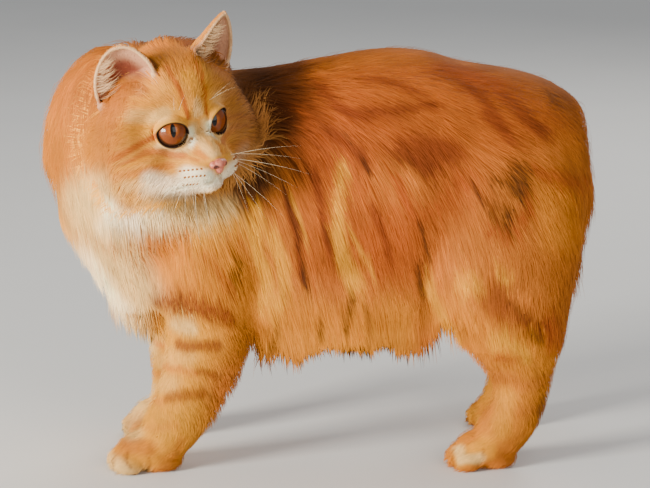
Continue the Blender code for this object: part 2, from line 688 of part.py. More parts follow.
# Where the coat is combed: place, the way the hair lies, depth of the coat and the size of its locks, for
# the left side and the middle
COMB = [
    ((-0.060, 0.000, 0.284), (1.0, 0.00, 0.05), 0.010, "back"),
    ((0.045, 0.000, 0.300), (1.0, 0.00, -0.05), 0.012, "back"),
    ((0.120, 0.000, 0.285), (1.0, 0.00, -0.35), 0.013, "back"),
    ((-0.050, -0.045, 0.265), (0.9, -0.15, -0.45), 0.012, "back"),
    ((0.040, -0.055, 0.265), (0.8, -0.15, -0.60), 0.014, "back"),
    ((0.120, -0.055, 0.250), (0.8, -0.05, -0.60), 0.014, "back"),
    ((-0.060, -0.068, 0.215), (0.45, 0.00, -0.90), 0.018, "flank"),
    ((0.010, -0.075, 0.215), (0.40, 0.00, -0.95), 0.018, "flank"),
    ((0.070, -0.078, 0.215), (0.45, 0.00, -0.90), 0.018, "flank"),
    ((-0.050, -0.065, 0.160), (0.25, 0.00, -1.0), 0.020, "flank"),
    ((0.010, -0.068, 0.155), (0.22, 0.00, -1.0), 0.020, "flank"),
    ((0.060, -0.068, 0.165), (0.25, 0.00, -1.0), 0.016, "flank"),
    ((-0.050, -0.055, 0.110), (0.25, 0.05, -1.0), 0.012, "fringe"),
    ((0.010, -0.060, 0.106), (0.20, 0.05, -1.0), 0.013, "fringe"),
    ((0.055, -0.058, 0.112), (0.10, 0.05, -1.0), 0.012, "fringe"),
    ((-0.035, 0.000, 0.098), (0.20, 0.00, -1.0), 0.016, "fringe"),
    ((0.040, 0.000, 0.098), (0.20, 0.00, -1.0), 0.018, "fringe"),
    ((0.165, -0.040, 0.240), (0.7, -0.10, -0.75), 0.016, "rump"),
    ((0.190, 0.000, 0.215), (0.5, 0.00, -0.90), 0.018, "rump"),
    ((0.170, -0.050, 0.185), (0.4, -0.10, -0.95), 0.016, "rump"),
    ((0.125, -0.080, 0.190), (0.35, 0.00, -0.95), 0.012, "flank"),
    ((0.125, -0.082, 0.140), (0.05, 0.00, -1.0), 0.010, "breeches"),
    ((0.170, -0.055, 0.135), (0.15, 0.00, -1.0), 0.014, "breeches"),
    ((0.085, -0.070, 0.130), (0.25, 0.00, -1.0), 0.008, "breeches"),
    ((-0.190, -0.010, 0.250), (0.10, -0.05, -1.0), 0.016, "ruff"),
    ((-0.150, 0.010, 0.305), (-0.60, 0.50, -0.60), 0.014, "ruff"),
    ((-0.185, -0.030, 0.205), (0.20, -0.05, -1.0), 0.020, "ruff"),
    ((-0.140, -0.075, 0.200), (0.15, 0.00, -1.0), 0.018, "ruff"),
    ((-0.115, -0.020, 0.300), (0.40, 0.80, -0.40), 0.012, "ruff"),
    ((-0.165, 0.000, 0.160), (0.35, 0.00, -1.0), 0.018, "ruff"),
    ((-0.135, -0.030, 0.125), (0.25, 0.00, -1.0), 0.014, "bib"),
    ((-0.095, -0.068, 0.160), (0.20, 0.00, -1.0), 0.012, "flank"),
]


def both_halves(rows, lengths):
    """Rows of x, y, z triples with their mirror images across y = 0."""
    flip = np.tile((1, -1, 1), lengths)
    return np.vstack([rows, rows * flip])


COMB_PLACES = both_halves(np.array([row[0] for row in COMB]), 1)
COMB_WAYS = both_halves(np.array([row[1] for row in COMB]), 1)
COMB_WAYS /= np.linalg.norm(COMB_WAYS, axis=1)[:, None]
COMB_DEPTHS = np.tile([row[2] for row in COMB], 2)
COMB_KINDS = [row[3] for row in COMB] * 2


def combed(points):
    """At each point: the way the hair lies, the coat's depth, and the number of the nearest comb mark."""
    apart = np.linalg.norm(points[:, None] - COMB_PLACES[None], axis=2)
    weight = 1 / (apart**2 + 0.012**2) ** 2
    weight /= weight.sum(axis=1)[:, None]
    ways = weight @ COMB_WAYS
    ways /= np.linalg.norm(ways, axis=1)[:, None]
    return ways, weight @ COMB_DEPTHS, apart.argmin(axis=1)


def long_coat(points):
    """1 where the coat is long and carried by locks, 0 on the legs and beside the head."""
    x, y, z = points.T
    fore = step(x, -0.045, -0.060) * step(z, 0.150, 0.125) * step(np.abs(y), 0.012, 0.024)
    hind = step(x, 0.060, 0.075) * step(z, 0.120, 0.095)
    from_head = points - np.array(HEAD_PLACE)
    behind = step(-from_head @ np.array(HEAD.to_3x3().col[0]), 0.022, 0.045)
    beside = 1 - step(np.linalg.norm(from_head, axis=1), 0.060, 0.085)
    return (1 - fore) * (1 - hind) * (1 - beside * (1 - behind))


def drawn_in(obj, share):
    """Draws a surface in by a share of the depth of its long coat."""
    points, normals = points_of(obj)
    depths = combed(points)[1] * long_coat(points)
    set_points(obj, points - normals * (depths * share)[:, None])
    return obj


def spaced(points, rng, keep):
    """Points chosen in a random order, each clear of those before it by the spacing of its locks."""
    ways, depths, nearest = combed(points)
    chosen = []
    places = np.empty((0, 3))
    gaps = np.empty(0)
    for i in rng.permutation(len(points)):
        if not keep[i]:
            continue
        gap = LOCK_SIZES[COMB_KINDS[nearest[i]]][3]
        apart = np.linalg.norm(places - points[i], axis=1)
        if np.all(apart > (gaps + gap) / 2):
            chosen.append(i)
            places = np.vstack([places, points[i]])
            gaps = np.append(gaps, gap)
    return chosen


# Share of the length, width, thickness and height over the drawn-in body at each ring of a lock
LOCK_RINGS = (
    (0.00, 0.62, 1.00, -0.35),
    (0.32, 1.00, 1.00, 0.60),
    (0.70, 0.70, 0.75, 0.95),
)
LOCK_SINK = 0.32
LOCK_TIP = (1.00, 1.00)


def lock(root, normal, way, depth, size, swell, outer):
    """One flat tapered lock of hair: it leaves the body, bends and lies along the coat to its tip."""
    width, length, thickness = size
    hang = step(np.array(-way[2]), 0.90, 0.99) * step(np.array(-normal[2]), -0.25, 0.35)
    path = []
    for share, rise in [(r[0], r[3]) for r in LOCK_RINGS] + [LOCK_TIP]:
        straight = root + way * (length * share)
        near, over = outer(straight)
        lying = near + over * ((rise - 1.0) * depth - 0.35 * thickness)
        hanging = straight - way * (length * LOCK_SINK)
        path.append(lying * (1 - hang) + hanging * hang)
    path = np.array(path)
    run = np.gradient(path, axis=0)
    run /= np.linalg.norm(run, axis=1)[:, None]
    mesh = bmesh.new()
    rings = []
    for i, (share, wide, thick, rise) in enumerate(LOCK_RINGS):
        over = normal if hang > 0.5 or i == 0 else outer(path[i])[1]
        across = np.cross(run[i], over)
        across /= np.linalg.norm(across)
        up = np.cross(across, run[i])
        half_wide = across * (width * wide / 2 + swell)
        half_thick = up * (thickness * thick / 2 + swell)
        middle = path[i] - run[i] * swell * (i == 0)
        ring = [middle + half_wide, middle + half_thick, middle - half_wide, middle - half_thick]
        rings.append([mesh.verts.new(p) for p in ring])
    tip = mesh.verts.new(path[-1] + run[-1] * swell * 2)
    for low, high in zip(rings, rings[1:]):
        for i in range(4):
            j = (i + 1) % 4
            mesh.faces.new((low[i], low[j], high[j], high[i]))
    mesh.faces.new(rings[0])
    for i in range(4):
        mesh.faces.new((rings[-1][i], rings[-1][(i + 1) % 4], tip))
    bmesh.ops.recalc_face_normals(mesh, faces=mesh.faces)
    return mesh


def locks_for(points, normals, rng, keep):
    """The shapes of all locks that are rooted at some of the points, as the numbers that lock() takes."""
    ways, depths, nearest = combed(points)
    found = []
    for i in spaced(points, rng, keep & (long_coat(points) > 0.5)):
        width, length, thickness, gap = LOCK_SIZES[COMB_KINDS[nearest[i]]]
        vary = rng.uniform(0.85, 1.15, 3)
        way = ways[i] + rng.normal(0, 0.10, 3)
        way /= np.linalg.norm(way)
        way = way - normals[i] * min(way @ normals[i], 0) * 0.5
        found.append((points[i], normals[i], way / np.linalg.norm(way), depths[i],
                      (width * vary[0], length * vary[1], thickness * vary[2])))
    return found


def locks_joined(shapes, swell, surface, name):
    """The given locks as one closed surface."""
    holder = bpy.data.collections.new(name)
    bpy.context.scene.collection.children.link(holder)
    pieces = [object_from(lock(*shape, swell, surface), name, holder) for shape in shapes]
    first = pieces[0]
    holder.objects.unlink(first)
    bpy.context.scene.collection.objects.link(first)
    modifier = first.modifiers.new("all", "BOOLEAN")
    modifier.operand_type = "COLLECTION"
    modifier.collection = holder
    modifier.operation = "UNION"
    modifier.solver = "MANIFOLD"
    applied(first)
    for piece in pieces[1:]:
        bpy.data.objects.remove(piece)
    bpy.data.collections.remove(holder)
    return first


for old in list(bpy.data.objects):
    bpy.data.objects.remove(old)

half_gap = GAP / 2
rng = np.random.default_rng(COAT_SEED)
body = clay("body", torso_pieces() + neck_pieces() + [foreleg(-1), foreleg(1), hind_leg(-1), hind_leg(1)],
            BODY_VOXEL, 12)
depsgraph = bpy.context.evaluated_depsgraph_get()
coat_tree = BVHTree.FromObject(body, depsgraph)


def coat_surface(point):
    """The nearest point of the coat's outer surface, and its outward direction."""
    place, way, index, distance = coat_tree.find_nearest(Vector(point))
    return np.array(place), np.array(way)


drawn_in(body, CORE_SHARE)
body_points, body_normals = points_of(body)
thinned = rng.permutation(len(body_points))[:ROOT_CANDIDATES]
body_points = body_points[thinned]
body_normals = body_normals[thinned]
lightened(body, BODY_TRIANGLES)

nodes = {}

# The paws, each with the end of its leg, cut flat underfoot and at the wrist or hock
for name in PAWS:
    kind, side_name = name.split("_")
    side = -1 if side_name == "left" else 1
    limb = foreleg(side) if kind == "forepaw" else hind_leg(side)
    paw = clay(name, paw_pieces(name) + [limb], PAW_VOXEL, 3)
    span = ((-0.4, -0.4, 0.0), (0.4, 0.4, PAW_HEIGHT[kind] - half_gap))
    lightened(paw, PAW_TRIANGLES)
    combined(paw, object_from(block(*span), "span"), "INTERSECT")
    nodes[name] = largest_piece(paw)

# The head, its lids, eyes, ears and nose
head = clay("head", head_pieces(), HEAD_VOXEL, 6)
places, normals = points_of(head)
set_points(head, sculpt_eyes(places))
lightened(head, HEAD_TRIANGLES)
nose = clay("nose", nose_pieces(), NOSE_VOXEL, 3)
lightened(nose, 160)
nose_bed = grown(nose, "nose bed", GAP)
for side in (1, -1):
    combined(nose, object_from(nostril(side), "nostril"), "DIFFERENCE")
for side in (1, -1):
    combined(head, object_from(eye_opening(side), "opening"), "DIFFERENCE")
    combined(head, object_from(ball(eye_frame(side)[0], SOCKET_RADIUS), "socket"), "DIFFERENCE")
    combined(head, object_from(lids(side), "lids"), "UNION")
combined(head, nose_bed, "DIFFERENCE")
depsgraph = bpy.context.evaluated_depsgraph_get()
face_tree = BVHTree.FromObject(head, depsgraph)
lips = [np.array(face_tree.find_nearest(Vector(p))[0]) for p in mouth_line()]
combined(head, object_from(tube(lips, MOUTH_GROOVE, 5), "mouth"), "DIFFERENCE")
plain_head = clay("plain head", head_pieces(), 0.0025, 6)
lightened(plain_head, 1500)
head_bed = grown(plain_head, "bed", GAP + 0.0004)
bpy.data.objects.remove(plain_head)
combined(head_bed, object_from(convex([((HEAD_BACK - GAP, 0, 0), (-1, 0, 0))]), "front"), "INTERSECT")
combined(head, object_from(convex([((HEAD_BACK, 0, 0), (-1, 0, 0))]), "front"), "INTERSECT")
beds = []
for side, name in ((1, "ear_left"), (-1, "ear_right")):
    shell = object_from(ear(side), name)
    thick = shell.modifiers.new("thickness", "SOLIDIFY")
    thick.thickness = EAR_THICKNESS
    thick.offset = 0
    applied(shell)
    combined(shell, copied(head_bed, "bed"), "DIFFERENCE")
    nodes[name] = largest_piece(shell)
    beds.append(ear_bed(side))
nodes["head"] = largest_piece(head)
nodes["nose"] = largest_piece(nose)
for side, name in ((1, "eye_left"), (-1, "eye_right")):
    nodes[name] = object_from(ball(eye_frame(side)[0], EYE_RADIUS), name)
beds.append(head_bed)
for shape in beds + [nodes[n] for n in ("head", "nose", "ear_left", "ear_right", "eye_left", "eye_right")]:
    shape.data.transform(HEAD)

# The body, less the head and ears, parted into neck, torso and legs
for bed in beds:
    combined(body, copied(bed, "bed"), "DIFFERENCE")
wide_body = grown(body, "wide body", GAP + 0.00005)
for kind, top, bottom, front, back in LEG_PARTS:
    for side, side_name in ((-1, "left"), (1, "right")):
        part = copied(body, kind + "_" + side_name)
        combined(part, object_from(leg_block(top, bottom, front, back, side, half_gap), "span"), "INTERSECT")
        nodes[part.name] = part
cut_point, cut_way = NECK_CUT
above_legs = ((0, 0, FORELEG_CUT + half_gap), (0, 0, -1))
neck = copied(body, "neck")
combined(neck, object_from(convex([(cut_point + cut_way * half_gap, -cut_way), above_legs]), "span"), "INTERSECT")
nodes["neck"] = neck
fore_block = ((-0.4, -0.4, -0.1), (FORELEG_BEHIND, 0.4, FORELEG_CUT))
hind_block = ((THIGH_FRONT, -0.4, -0.1), (0.4, 0.4, THIGH_CUT))
torso = copied(body, "torso")
combined(torso, object_from(convex([(cut_point - cut_way * half_gap, cut_way)]), "span"), "INTERSECT")
for low, high in (fore_block, hind_block):
    combined(torso, object_from(block(low, high, -half_gap), "span"), "DIFFERENCE")
nodes["torso"] = torso
bpy.data.objects.remove(body)

# The locks of the torso, then those of the neck and thighs, each cut clear of what lies next to it
x, y, z = body_points.T
before_neck = (body_points - np.array(cut_point)) @ np.array(cut_way)
on_thigh = (x > THIGH_FRONT) & (z < THIGH_CUT)
on_foreleg = (x < FORELEG_BEHIND) & (z < FORELEG_CUT + 0.004)
torso_shapes = locks_for(body_points, body_normals, rng,
                         (before_neck < -0.014) & ~on_thigh & ~on_foreleg)
neck_shapes = locks_for(body_points, body_normals, rng, (before_neck > 0.004) & ~on_foreleg)
thigh_shapes = {
    name: locks_for(body_points, body_normals, rng,
                    on_thigh & (y * side > 0.026) & (z > SHANK_CUT + 0.012) & (z < THIGH_CUT - 0.006))
    for side, name in ((-1, "thigh_left"), (1, "thigh_right"))
}
near = 0.0001

torso_locks = locks_joined(torso_shapes, 0.0, coat_surface, "torso locks")
others = [copied(wide_body, "neighbour") for i in range(3)]
combined(others[0], object_from(convex([(cut_point - cut_way * near, -cut_way)]), "span"), "INTERSECT")
combined(others[1], object_from(block(*fore_block, -near), "span"), "INTERSECT")
combined(others[2], object_from(block(*hind_block, -near), "span"), "INTERSECT")
for other in others:
    combined(torso_locks, other, "DIFFERENCE")
for bed in beds:
    combined(torso_locks, copied(bed, "bed"), "DIFFERENCE")
combined(torso, torso_locks, "UNION")

torso_room = locks_joined(torso_shapes, GAP + near, coat_surface, "torso room")
neck_locks = locks_joined(neck_shapes, 0.0, coat_surface, "neck locks")
other = copied(wide_body, "neighbour")
combined(other, object_from(convex([(cut_point + cut_way * near, cut_way)]), "span"), "INTERSECT")
combined(neck_locks, other, "DIFFERENCE")
combined(neck_locks, copied(torso_room, "room"), "DIFFERENCE")
for bed in beds:
    combined(neck_locks, copied(bed, "bed"), "DIFFERENCE")
combined(neck, neck_locks, "UNION")

for side, name in ((-1, "thigh_left"), (1, "thigh_right")):
    thigh_locks = locks_joined(thigh_shapes[name], 0.0, coat_surface, name + " locks")
    combined(thigh_locks, object_from(leg_block(0.4, -0.1, -0.4, 0.4, side, near), "half"), "INTERSECT")
    other = copied(wide_body, "neighbour")
    own = leg_block(THIGH_CUT, SHANK_CUT, THIGH_FRONT, 0.4, side, near)
    combined(other, object_from(own, "own"), "DIFFERENCE")
    combined(thigh_locks, other, "DIFFERENCE")
    combined(thigh_locks, copied(torso_room, "room"), "DIFFERENCE")
    combined(nodes[name], thigh_locks, "UNION")

for name in ("torso", "neck") + tuple(kind + "_" + side for kind in ("foreleg", "thigh", "shank")
                                      for side in ("left", "right")):
    largest_piece(nodes[name])
for spare in [wide_body, torso_room] + beds:
    bpy.data.objects.remove(spare)

# The collection, the materials and the place on the floor
whole = bpy.data.collections.new("manx_cat")
bpy.context.scene.collection.children.link(whole)
low = np.min([points_of(o)[0].min(axis=0) for o in nodes.values()], axis=0)
high = np.max([points_of(o)[0].max(axis=0) for o in nodes.values()], axis=0)
centring = Matrix.Translation((-(low[0] + high[0]) / 2, -(low[1] + high[1]) / 2, -low[2]))
for name, node in nodes.items():
    node.name = name
    node.data.transform(centring)
    for holder in list(node.users_collection):
        holder.objects.unlink(node)
    whole.objects.link(node)
    kind = name.split("_")[0]
    colour, roughness = COLOURS[kind]
    material = bpy.data.materials.new(kind)
    material.use_nodes = True
    shader = material.node_tree.nodes["Principled BSDF"]
    shader.inputs["Base Color"].default_value = (*colour, 1)
    shader.inputs["Roughness"].default_value = roughness
    shader.inputs["Metallic"].default_value = 0.0
    node.data.materials.clear()
    node.data.materials.append(material)
    node.data.shade_smooth()
    node.data.set_sharp_from_angle(angle=SHARP_EDGE)
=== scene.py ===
"""A long-coated manx cat for the render: skin, coat in tufts, eyes, nose, whiskers, floor, light and camera.

Metres, +Z up. The cat faces -X and its left side is towards -Y. Shapes are made in the same places as the
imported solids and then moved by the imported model's own centring.
"""

import math

import bmesh
import bpy
import numpy as np
from mathutils import Matrix, Vector
from mathutils.bvhtree import BVHTree
from mathutils.kdtree import KDTree


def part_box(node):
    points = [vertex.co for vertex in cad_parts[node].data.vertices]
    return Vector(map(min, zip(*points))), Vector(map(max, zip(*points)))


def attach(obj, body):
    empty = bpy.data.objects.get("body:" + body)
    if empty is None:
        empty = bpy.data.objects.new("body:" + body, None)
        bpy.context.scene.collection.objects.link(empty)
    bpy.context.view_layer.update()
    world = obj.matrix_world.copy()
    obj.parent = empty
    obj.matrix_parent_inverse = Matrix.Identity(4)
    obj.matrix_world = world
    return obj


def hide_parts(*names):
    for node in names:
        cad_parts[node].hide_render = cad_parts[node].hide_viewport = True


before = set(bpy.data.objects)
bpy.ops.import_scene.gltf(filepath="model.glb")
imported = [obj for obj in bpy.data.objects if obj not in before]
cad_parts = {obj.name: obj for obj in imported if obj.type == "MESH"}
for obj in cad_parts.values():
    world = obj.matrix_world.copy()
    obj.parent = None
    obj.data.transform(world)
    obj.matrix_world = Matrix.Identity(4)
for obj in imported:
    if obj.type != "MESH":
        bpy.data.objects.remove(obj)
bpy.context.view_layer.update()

# Driving sizes
RUMP_TOP = 0.297
WITHERS_TOP = 0.281
CHEST_FRONT = -0.166
RUMP_END = 0.194
BARREL_HALF_WIDTH = 0.075
FORE_TRACK = 0.045
HIND_TRACK = 0.054
EYE_RADIUS = 0.0120
SOCKET_RADIUS = 0.01205

# The grain of each modelled surface, and how many times its creases are smoothed
BODY_VOXEL = 0.0025
BODY_SMOOTHING = 17
HEAD_VOXEL = 0.0012
HEAD_SMOOTHING = 6
PAW_VOXEL = 0.0015
PAW_SMOOTHING = 3
NOSE_VOXEL = 0.0004
NOSE_SMOOTHING = 6

# The head's own frame: +X to the nose, +Y to its left, +Z to its crown
HEAD_PLACE = Vector((-0.1095, -0.0750, 0.2575))
HEAD_TURN = math.radians(-53.7)
HEAD_NOD = math.radians(10.4)
HEAD_TILT = math.radians(7.8)
HEAD = (
    Matrix.Translation(HEAD_PLACE)
    @ Matrix.Rotation(HEAD_TURN, 4, "Z")
    @ Matrix.Rotation(HEAD_NOD, 4, "Y")
    @ Matrix.Rotation(HEAD_TILT, 4, "X")
)
EYE_CENTRE = (0.0177, 0.0168, 0.0031)
EYE_OUTWARD = math.radians(24.0)
EYE_UPWARD = math.radians(4.0)
EYE_HALF_WIDTH = 0.0101
EYE_HALF_HEIGHT = 0.0083
LID_RISE = 0.0014

# The photograph's camera
PICTURE = (650, 488)
SENSOR = 36.0
LENS = 153.846
CAMERA_TURN = math.radians(-4.0)
CAMERA_RISE = math.radians(12.0)
CAMERA_TARGET = Vector((0.0, 0.0, 0.1579))
CAMERA_DISTANCE = 2.0
CAMERA_BACK = Vector((
    math.sin(CAMERA_TURN) * math.cos(CAMERA_RISE),
    -math.cos(CAMERA_TURN) * math.cos(CAMERA_RISE),
    math.sin(CAMERA_RISE),
))
CAMERA_PLACE = CAMERA_TARGET + CAMERA_BACK * CAMERA_DISTANCE
CAMERA_RIGHT = Vector((0, 0, 1)).cross(CAMERA_BACK).normalized()
CAMERA_UP = CAMERA_BACK.cross(CAMERA_RIGHT)
PICTURE_SCALE = LENS / SENSOR * PICTURE[0]

# How far inside the long coat's outside the skin lies, as a share of the coat's depth
SKIN_SHARE = 0.62
COAT_SEED = 5
FLOOR_GAP = 0.0004


def new_object(name, data):
    """A new object in the scene that holds the data."""
    made = bpy.data.objects.new(name, data)
    bpy.context.scene.collection.objects.link(made)
    return made


def object_from(mesh, name):
    """A new object that holds a bmesh in triangles. The bmesh is freed."""
    bmesh.ops.triangulate(mesh, faces=mesh.faces)
    data = bpy.data.meshes.new(name)
    mesh.to_mesh(data)
    mesh.free()
    return new_object(name, data)


def unit(vectors):
    """Vectors of length one, row by row."""
    return vectors / np.maximum(np.linalg.norm(vectors, axis=-1, keepdims=True), 1e-12)


HEAD_TURNED = np.array(HEAD.to_3x3())


def in_head(points):
    """Points in the head's own frame."""
    return (points - np.array(HEAD_PLACE)) @ HEAD_TURNED


def out_of_head(points):
    """Points or vectors given in the head's frame, in the body's."""
    return points @ HEAD_TURNED.T + np.array(HEAD_PLACE)


class Surface:
    """The nearest points and outward directions of a mesh, for many places at once."""

    def __init__(self, obj, softening=0):
        self.tree = BVHTree.FromObject(obj, bpy.context.evaluated_depsgraph_get())
        data = obj.data
        ways = points_of(obj)[1]
        ends = np.empty(len(data.edges) * 2, np.int32)
        data.edges.foreach_get("vertices", ends)
        ends = ends.reshape(-1, 2)
        for _ in range(softening):
            total = ways.copy()
            np.add.at(total, ends[:, 0], ways[ends[:, 1]])
            np.add.at(total, ends[:, 1], ways[ends[:, 0]])
            ways = unit(total)
        corners = np.empty(len(data.loops), np.int32)
        data.loops.foreach_get("vertex_index", corners)
        starts = np.empty(len(data.polygons), np.int32)
        data.polygons.foreach_get("loop_start", starts)
        self.ways = unit(np.add.reduceat(ways[corners], starts, axis=0))

    def nearest(self, points):
        """Nearest places, outward directions, and distances."""
        places = np.empty_like(points)
        rows = np.empty(len(points), int)
        apart = np.empty(len(points))
        for i, point in enumerate(points.tolist()):
            place, way, rows[i], apart[i] = self.tree.find_nearest(point)
            places[i] = place
        return places, self.ways[rows], apart


def fine_ball(centre, radius):
    """A closed round ball of small even triangles."""
    mesh = bmesh.new()
    bmesh.ops.create_icosphere(mesh, subdivisions=5, radius=radius)
    bmesh.ops.translate(mesh, verts=mesh.verts, vec=centre)
    return mesh


def both_halves(rows):
    """Rows of x, y, z with their mirror images across y = 0."""
    return np.vstack([rows, rows * (1, -1, 1)])


def smooth_stations(stations, steps):
    """Catmull-Rom points through rows of numbers, with steps between each pair."""
    rows = np.array(stations, float)
    rows = np.vstack([2 * rows[0] - rows[1], rows, 2 * rows[-1] - rows[-2]])
    t = np.linspace(0, 1, steps, endpoint=False)[:, None]
    found = []
    for a, b, c, d in zip(rows, rows[1:], rows[2:], rows[3:]):
        found.append(
            0.5 * (2 * b + (c - a) * t + (2 * a - 5 * b + 4 * c - d) * t**2
                   + (3 * b - a - 3 * c + d) * t**3)
        )
    found.append(rows[-2:-1])
    return np.vstack(found)


def loft(stations, across, steps=4, sides=28):
    """A closed tube through stations of (x, y, z, radius across, radius along the third axis)."""
    rows = smooth_stations(stations, steps)
    centres = rows[:, :3]
    radii = np.maximum(rows[:, 3:5], 0.002)
    run = np.gradient(centres, axis=0)
    run /= np.linalg.norm(run, axis=1)[:, None]
    across = np.array(across, float)
    side = across - run * (run @ across)[:, None]
    side /= np.linalg.norm(side, axis=1)[:, None]
    third = np.cross(run, side)
    angle = np.linspace(0, 2 * math.pi, sides, endpoint=False)
    mesh = bmesh.new()
    rings = []
    for c, s, h, (ra, rb) in zip(centres, side, third, radii):
        ring = c + np.outer(np.cos(angle) * ra, s) + np.outer(np.sin(angle) * rb, h)
        rings.append([mesh.verts.new(p) for p in ring])
    for low, high in zip(rings, rings[1:]):
        for i in range(sides):
            j = (i + 1) % sides
            mesh.faces.new((low[i], low[j], high[j], high[i]))
    mesh.faces.new(rings[0][::-1])
    mesh.faces.new(rings[-1])
    bmesh.ops.recalc_face_normals(mesh, faces=mesh.faces)
    return mesh


def ellipsoid(centre, radii, turn=0.0, axis="Y", segments=32):
    """A closed ball stretched to three radii, turned about an axis through its centre."""
    mesh = bmesh.new()
    place = Matrix.Translation(centre) @ Matrix.Rotation(turn, 4, axis) @ Matrix.Diagonal((*radii, 1))
    bmesh.ops.create_uvsphere(
        mesh, u_segments=segments, v_segments=segments * 5 // 8, radius=1.0, matrix=place
    )
    return mesh


def both_sides(centre, radii, turn=0.0):
    """An ellipsoid and its mirror image across y = 0."""
    x, y, z = centre
    return [ellipsoid((x, side * y, z), radii, turn) for side in (1, -1)]


def applied(obj):
    """The object with its modifiers applied."""
    graph = bpy.context.evaluated_depsgraph_get()
    data = bpy.data.meshes.new_from_object(obj.evaluated_get(graph))
    obj.modifiers.clear()
    obj.data = data
    return obj


def clay(name, pieces, voxel, smoothing):
    """One closed surface round overlapping pieces, its creases smoothed away."""
    joined = bmesh.new()
    for piece in pieces:
        data = bpy.data.meshes.new("piece")
        piece.to_mesh(data)
        piece.free()
        joined.from_mesh(data)
        bpy.data.meshes.remove(data)
    made = object_from(joined, name)
    remesh = made.modifiers.new("one surface", "REMESH")
    remesh.mode = "VOXEL"
    remesh.voxel_size = voxel
    smooth = made.modifiers.new("soft creases", "SMOOTH")
    smooth.factor = 0.5
    smooth.iterations = smoothing
    return applied(made)


def points_of(obj):
    """The object's vertices and its vertex normals, as arrays."""
    count = len(obj.data.vertices)
    points = np.empty(count * 3)
    normals = np.empty(count * 3, np.float32)
    obj.data.vertices.foreach_get("co", points)
    obj.data.vertex_normals.foreach_get("vector", normals)
    return points.reshape(-1, 3), normals.reshape(-1, 3).astype(float)


def set_points(obj, points):
    """Moves the object's vertices."""
    obj.data.vertices.foreach_set("co", points.ravel())
    obj.data.update()


def step(value, low, high):
    """0 below low, 1 above high, smooth between."""
    t = np.clip((value - low) / (high - low), 0, 1)
    return t * t * (3 - 2 * t)


def torso_pieces():
    """The trunk, its shoulders and its rounded rump."""
    # x, y, z of the middle, half width, half height
    trunk = [
        (CHEST_FRONT, 0, 0.160, 0.022, 0.024),
        (-0.156, 0, 0.160, 0.040, 0.050),
        (-0.138, 0, 0.168, 0.052, 0.068),
        (-0.112, 0, 0.178, 0.058, 0.078),
        (-0.078, 0, 0.183, 0.060, 0.082),
        (-0.038, 0, 0.184, 0.064, 0.087),
        (0.002, 0, 0.191, 0.071, 0.095),
        (0.043, 0, 0.198, BARREL_HALF_WIDTH, RUMP_TOP - 0.198),
        (0.088, 0, 0.200, BARREL_HALF_WIDTH, 0.093),
        (0.124, 0, 0.204, 0.071, 0.079),
        (0.155, 0, 0.200, 0.062, 0.071),
        (0.176, 0, 0.197, 0.050, 0.060),
        (0.188, 0, 0.196, 0.036, 0.045),
        (RUMP_END, 0, 0.197, 0.016, 0.020),
    ]
    spine = [
        (-0.105, 0, 0.247, 0.030, 0.032),
        (-0.078, 0, 0.251, 0.034, WITHERS_TOP - 0.251),
        (-0.038, 0, 0.253, 0.038, 0.031),
        (0.002, 0, 0.257, 0.042, 0.034),
        (0.043, 0, 0.259, 0.046, RUMP_TOP - 0.259),
    ]
    # The curtain of long hair along each side of the belly
    curtain = [
        (-0.074, 0.042, 0.128, 0.006, 0.008),
        (-0.054, 0.046, 0.121, 0.013, 0.023),
        (-0.014, 0.050, 0.118, 0.016, 0.027),
        (0.026, 0.052, 0.117, 0.016, 0.027),
        (0.060, 0.050, 0.121, 0.014, 0.023),
        (0.082, 0.046, 0.130, 0.006, 0.008),
    ]
    pieces = [loft(trunk, (0, 1, 0)), loft(spine, (0, 1, 0))]
    for side in (-1, 1):
        pieces.append(loft([(x, side * y, z, w, h) for x, y, z, w, h in curtain], (0, 1, 0)))
    pieces += both_sides((-0.090, 0.040, 0.167), (0.040, 0.025, 0.062), math.radians(14))
    pieces += both_sides((0.118, 0.040, 0.190), (0.066, 0.040, 0.060))
    return pieces


def neck_pieces():
    """The neck, bent up and back towards the turned head, and the ruff in front of it."""
    run = [
        (-0.132, 0.000, 0.147, 0.046, 0.034),
        (-0.140, 0.000, 0.175, 0.054, 0.050),
        (-0.147, -0.006, 0.205, 0.056, 0.054),
        (-0.147, -0.016, 0.237, 0.055, 0.055),
        (-0.136, -0.030, 0.263, 0.052, 0.052),
        (-0.118, -0.042, 0.280, 0.044, 0.034),
    ]
    return [
        loft(run, (0.3, 1, 0)),
        ellipsoid((-0.110, -0.010, 0.232), (0.050, 0.050, 0.046)),
        ellipsoid((-0.130, -0.046, 0.203), (0.046, 0.042, 0.036)),
        ellipsoid((-0.106, -0.042, 0.273), (0.042, 0.040, 0.040)),
        ellipsoid((-0.138, -0.004, 0.136), (0.024, 0.034, 0.026)),
    ]


def leg_loft(side, track, run, inset, lateral):
    """A leg through stations of x, z and radius fore and aft, each drawn in from the leg's track."""
    y = side * track
    return loft(
        [(x, y - side * i, z, w, r) for (x, z, r), i, w in zip(run, inset, lateral)], (0, 1, 0)
    )


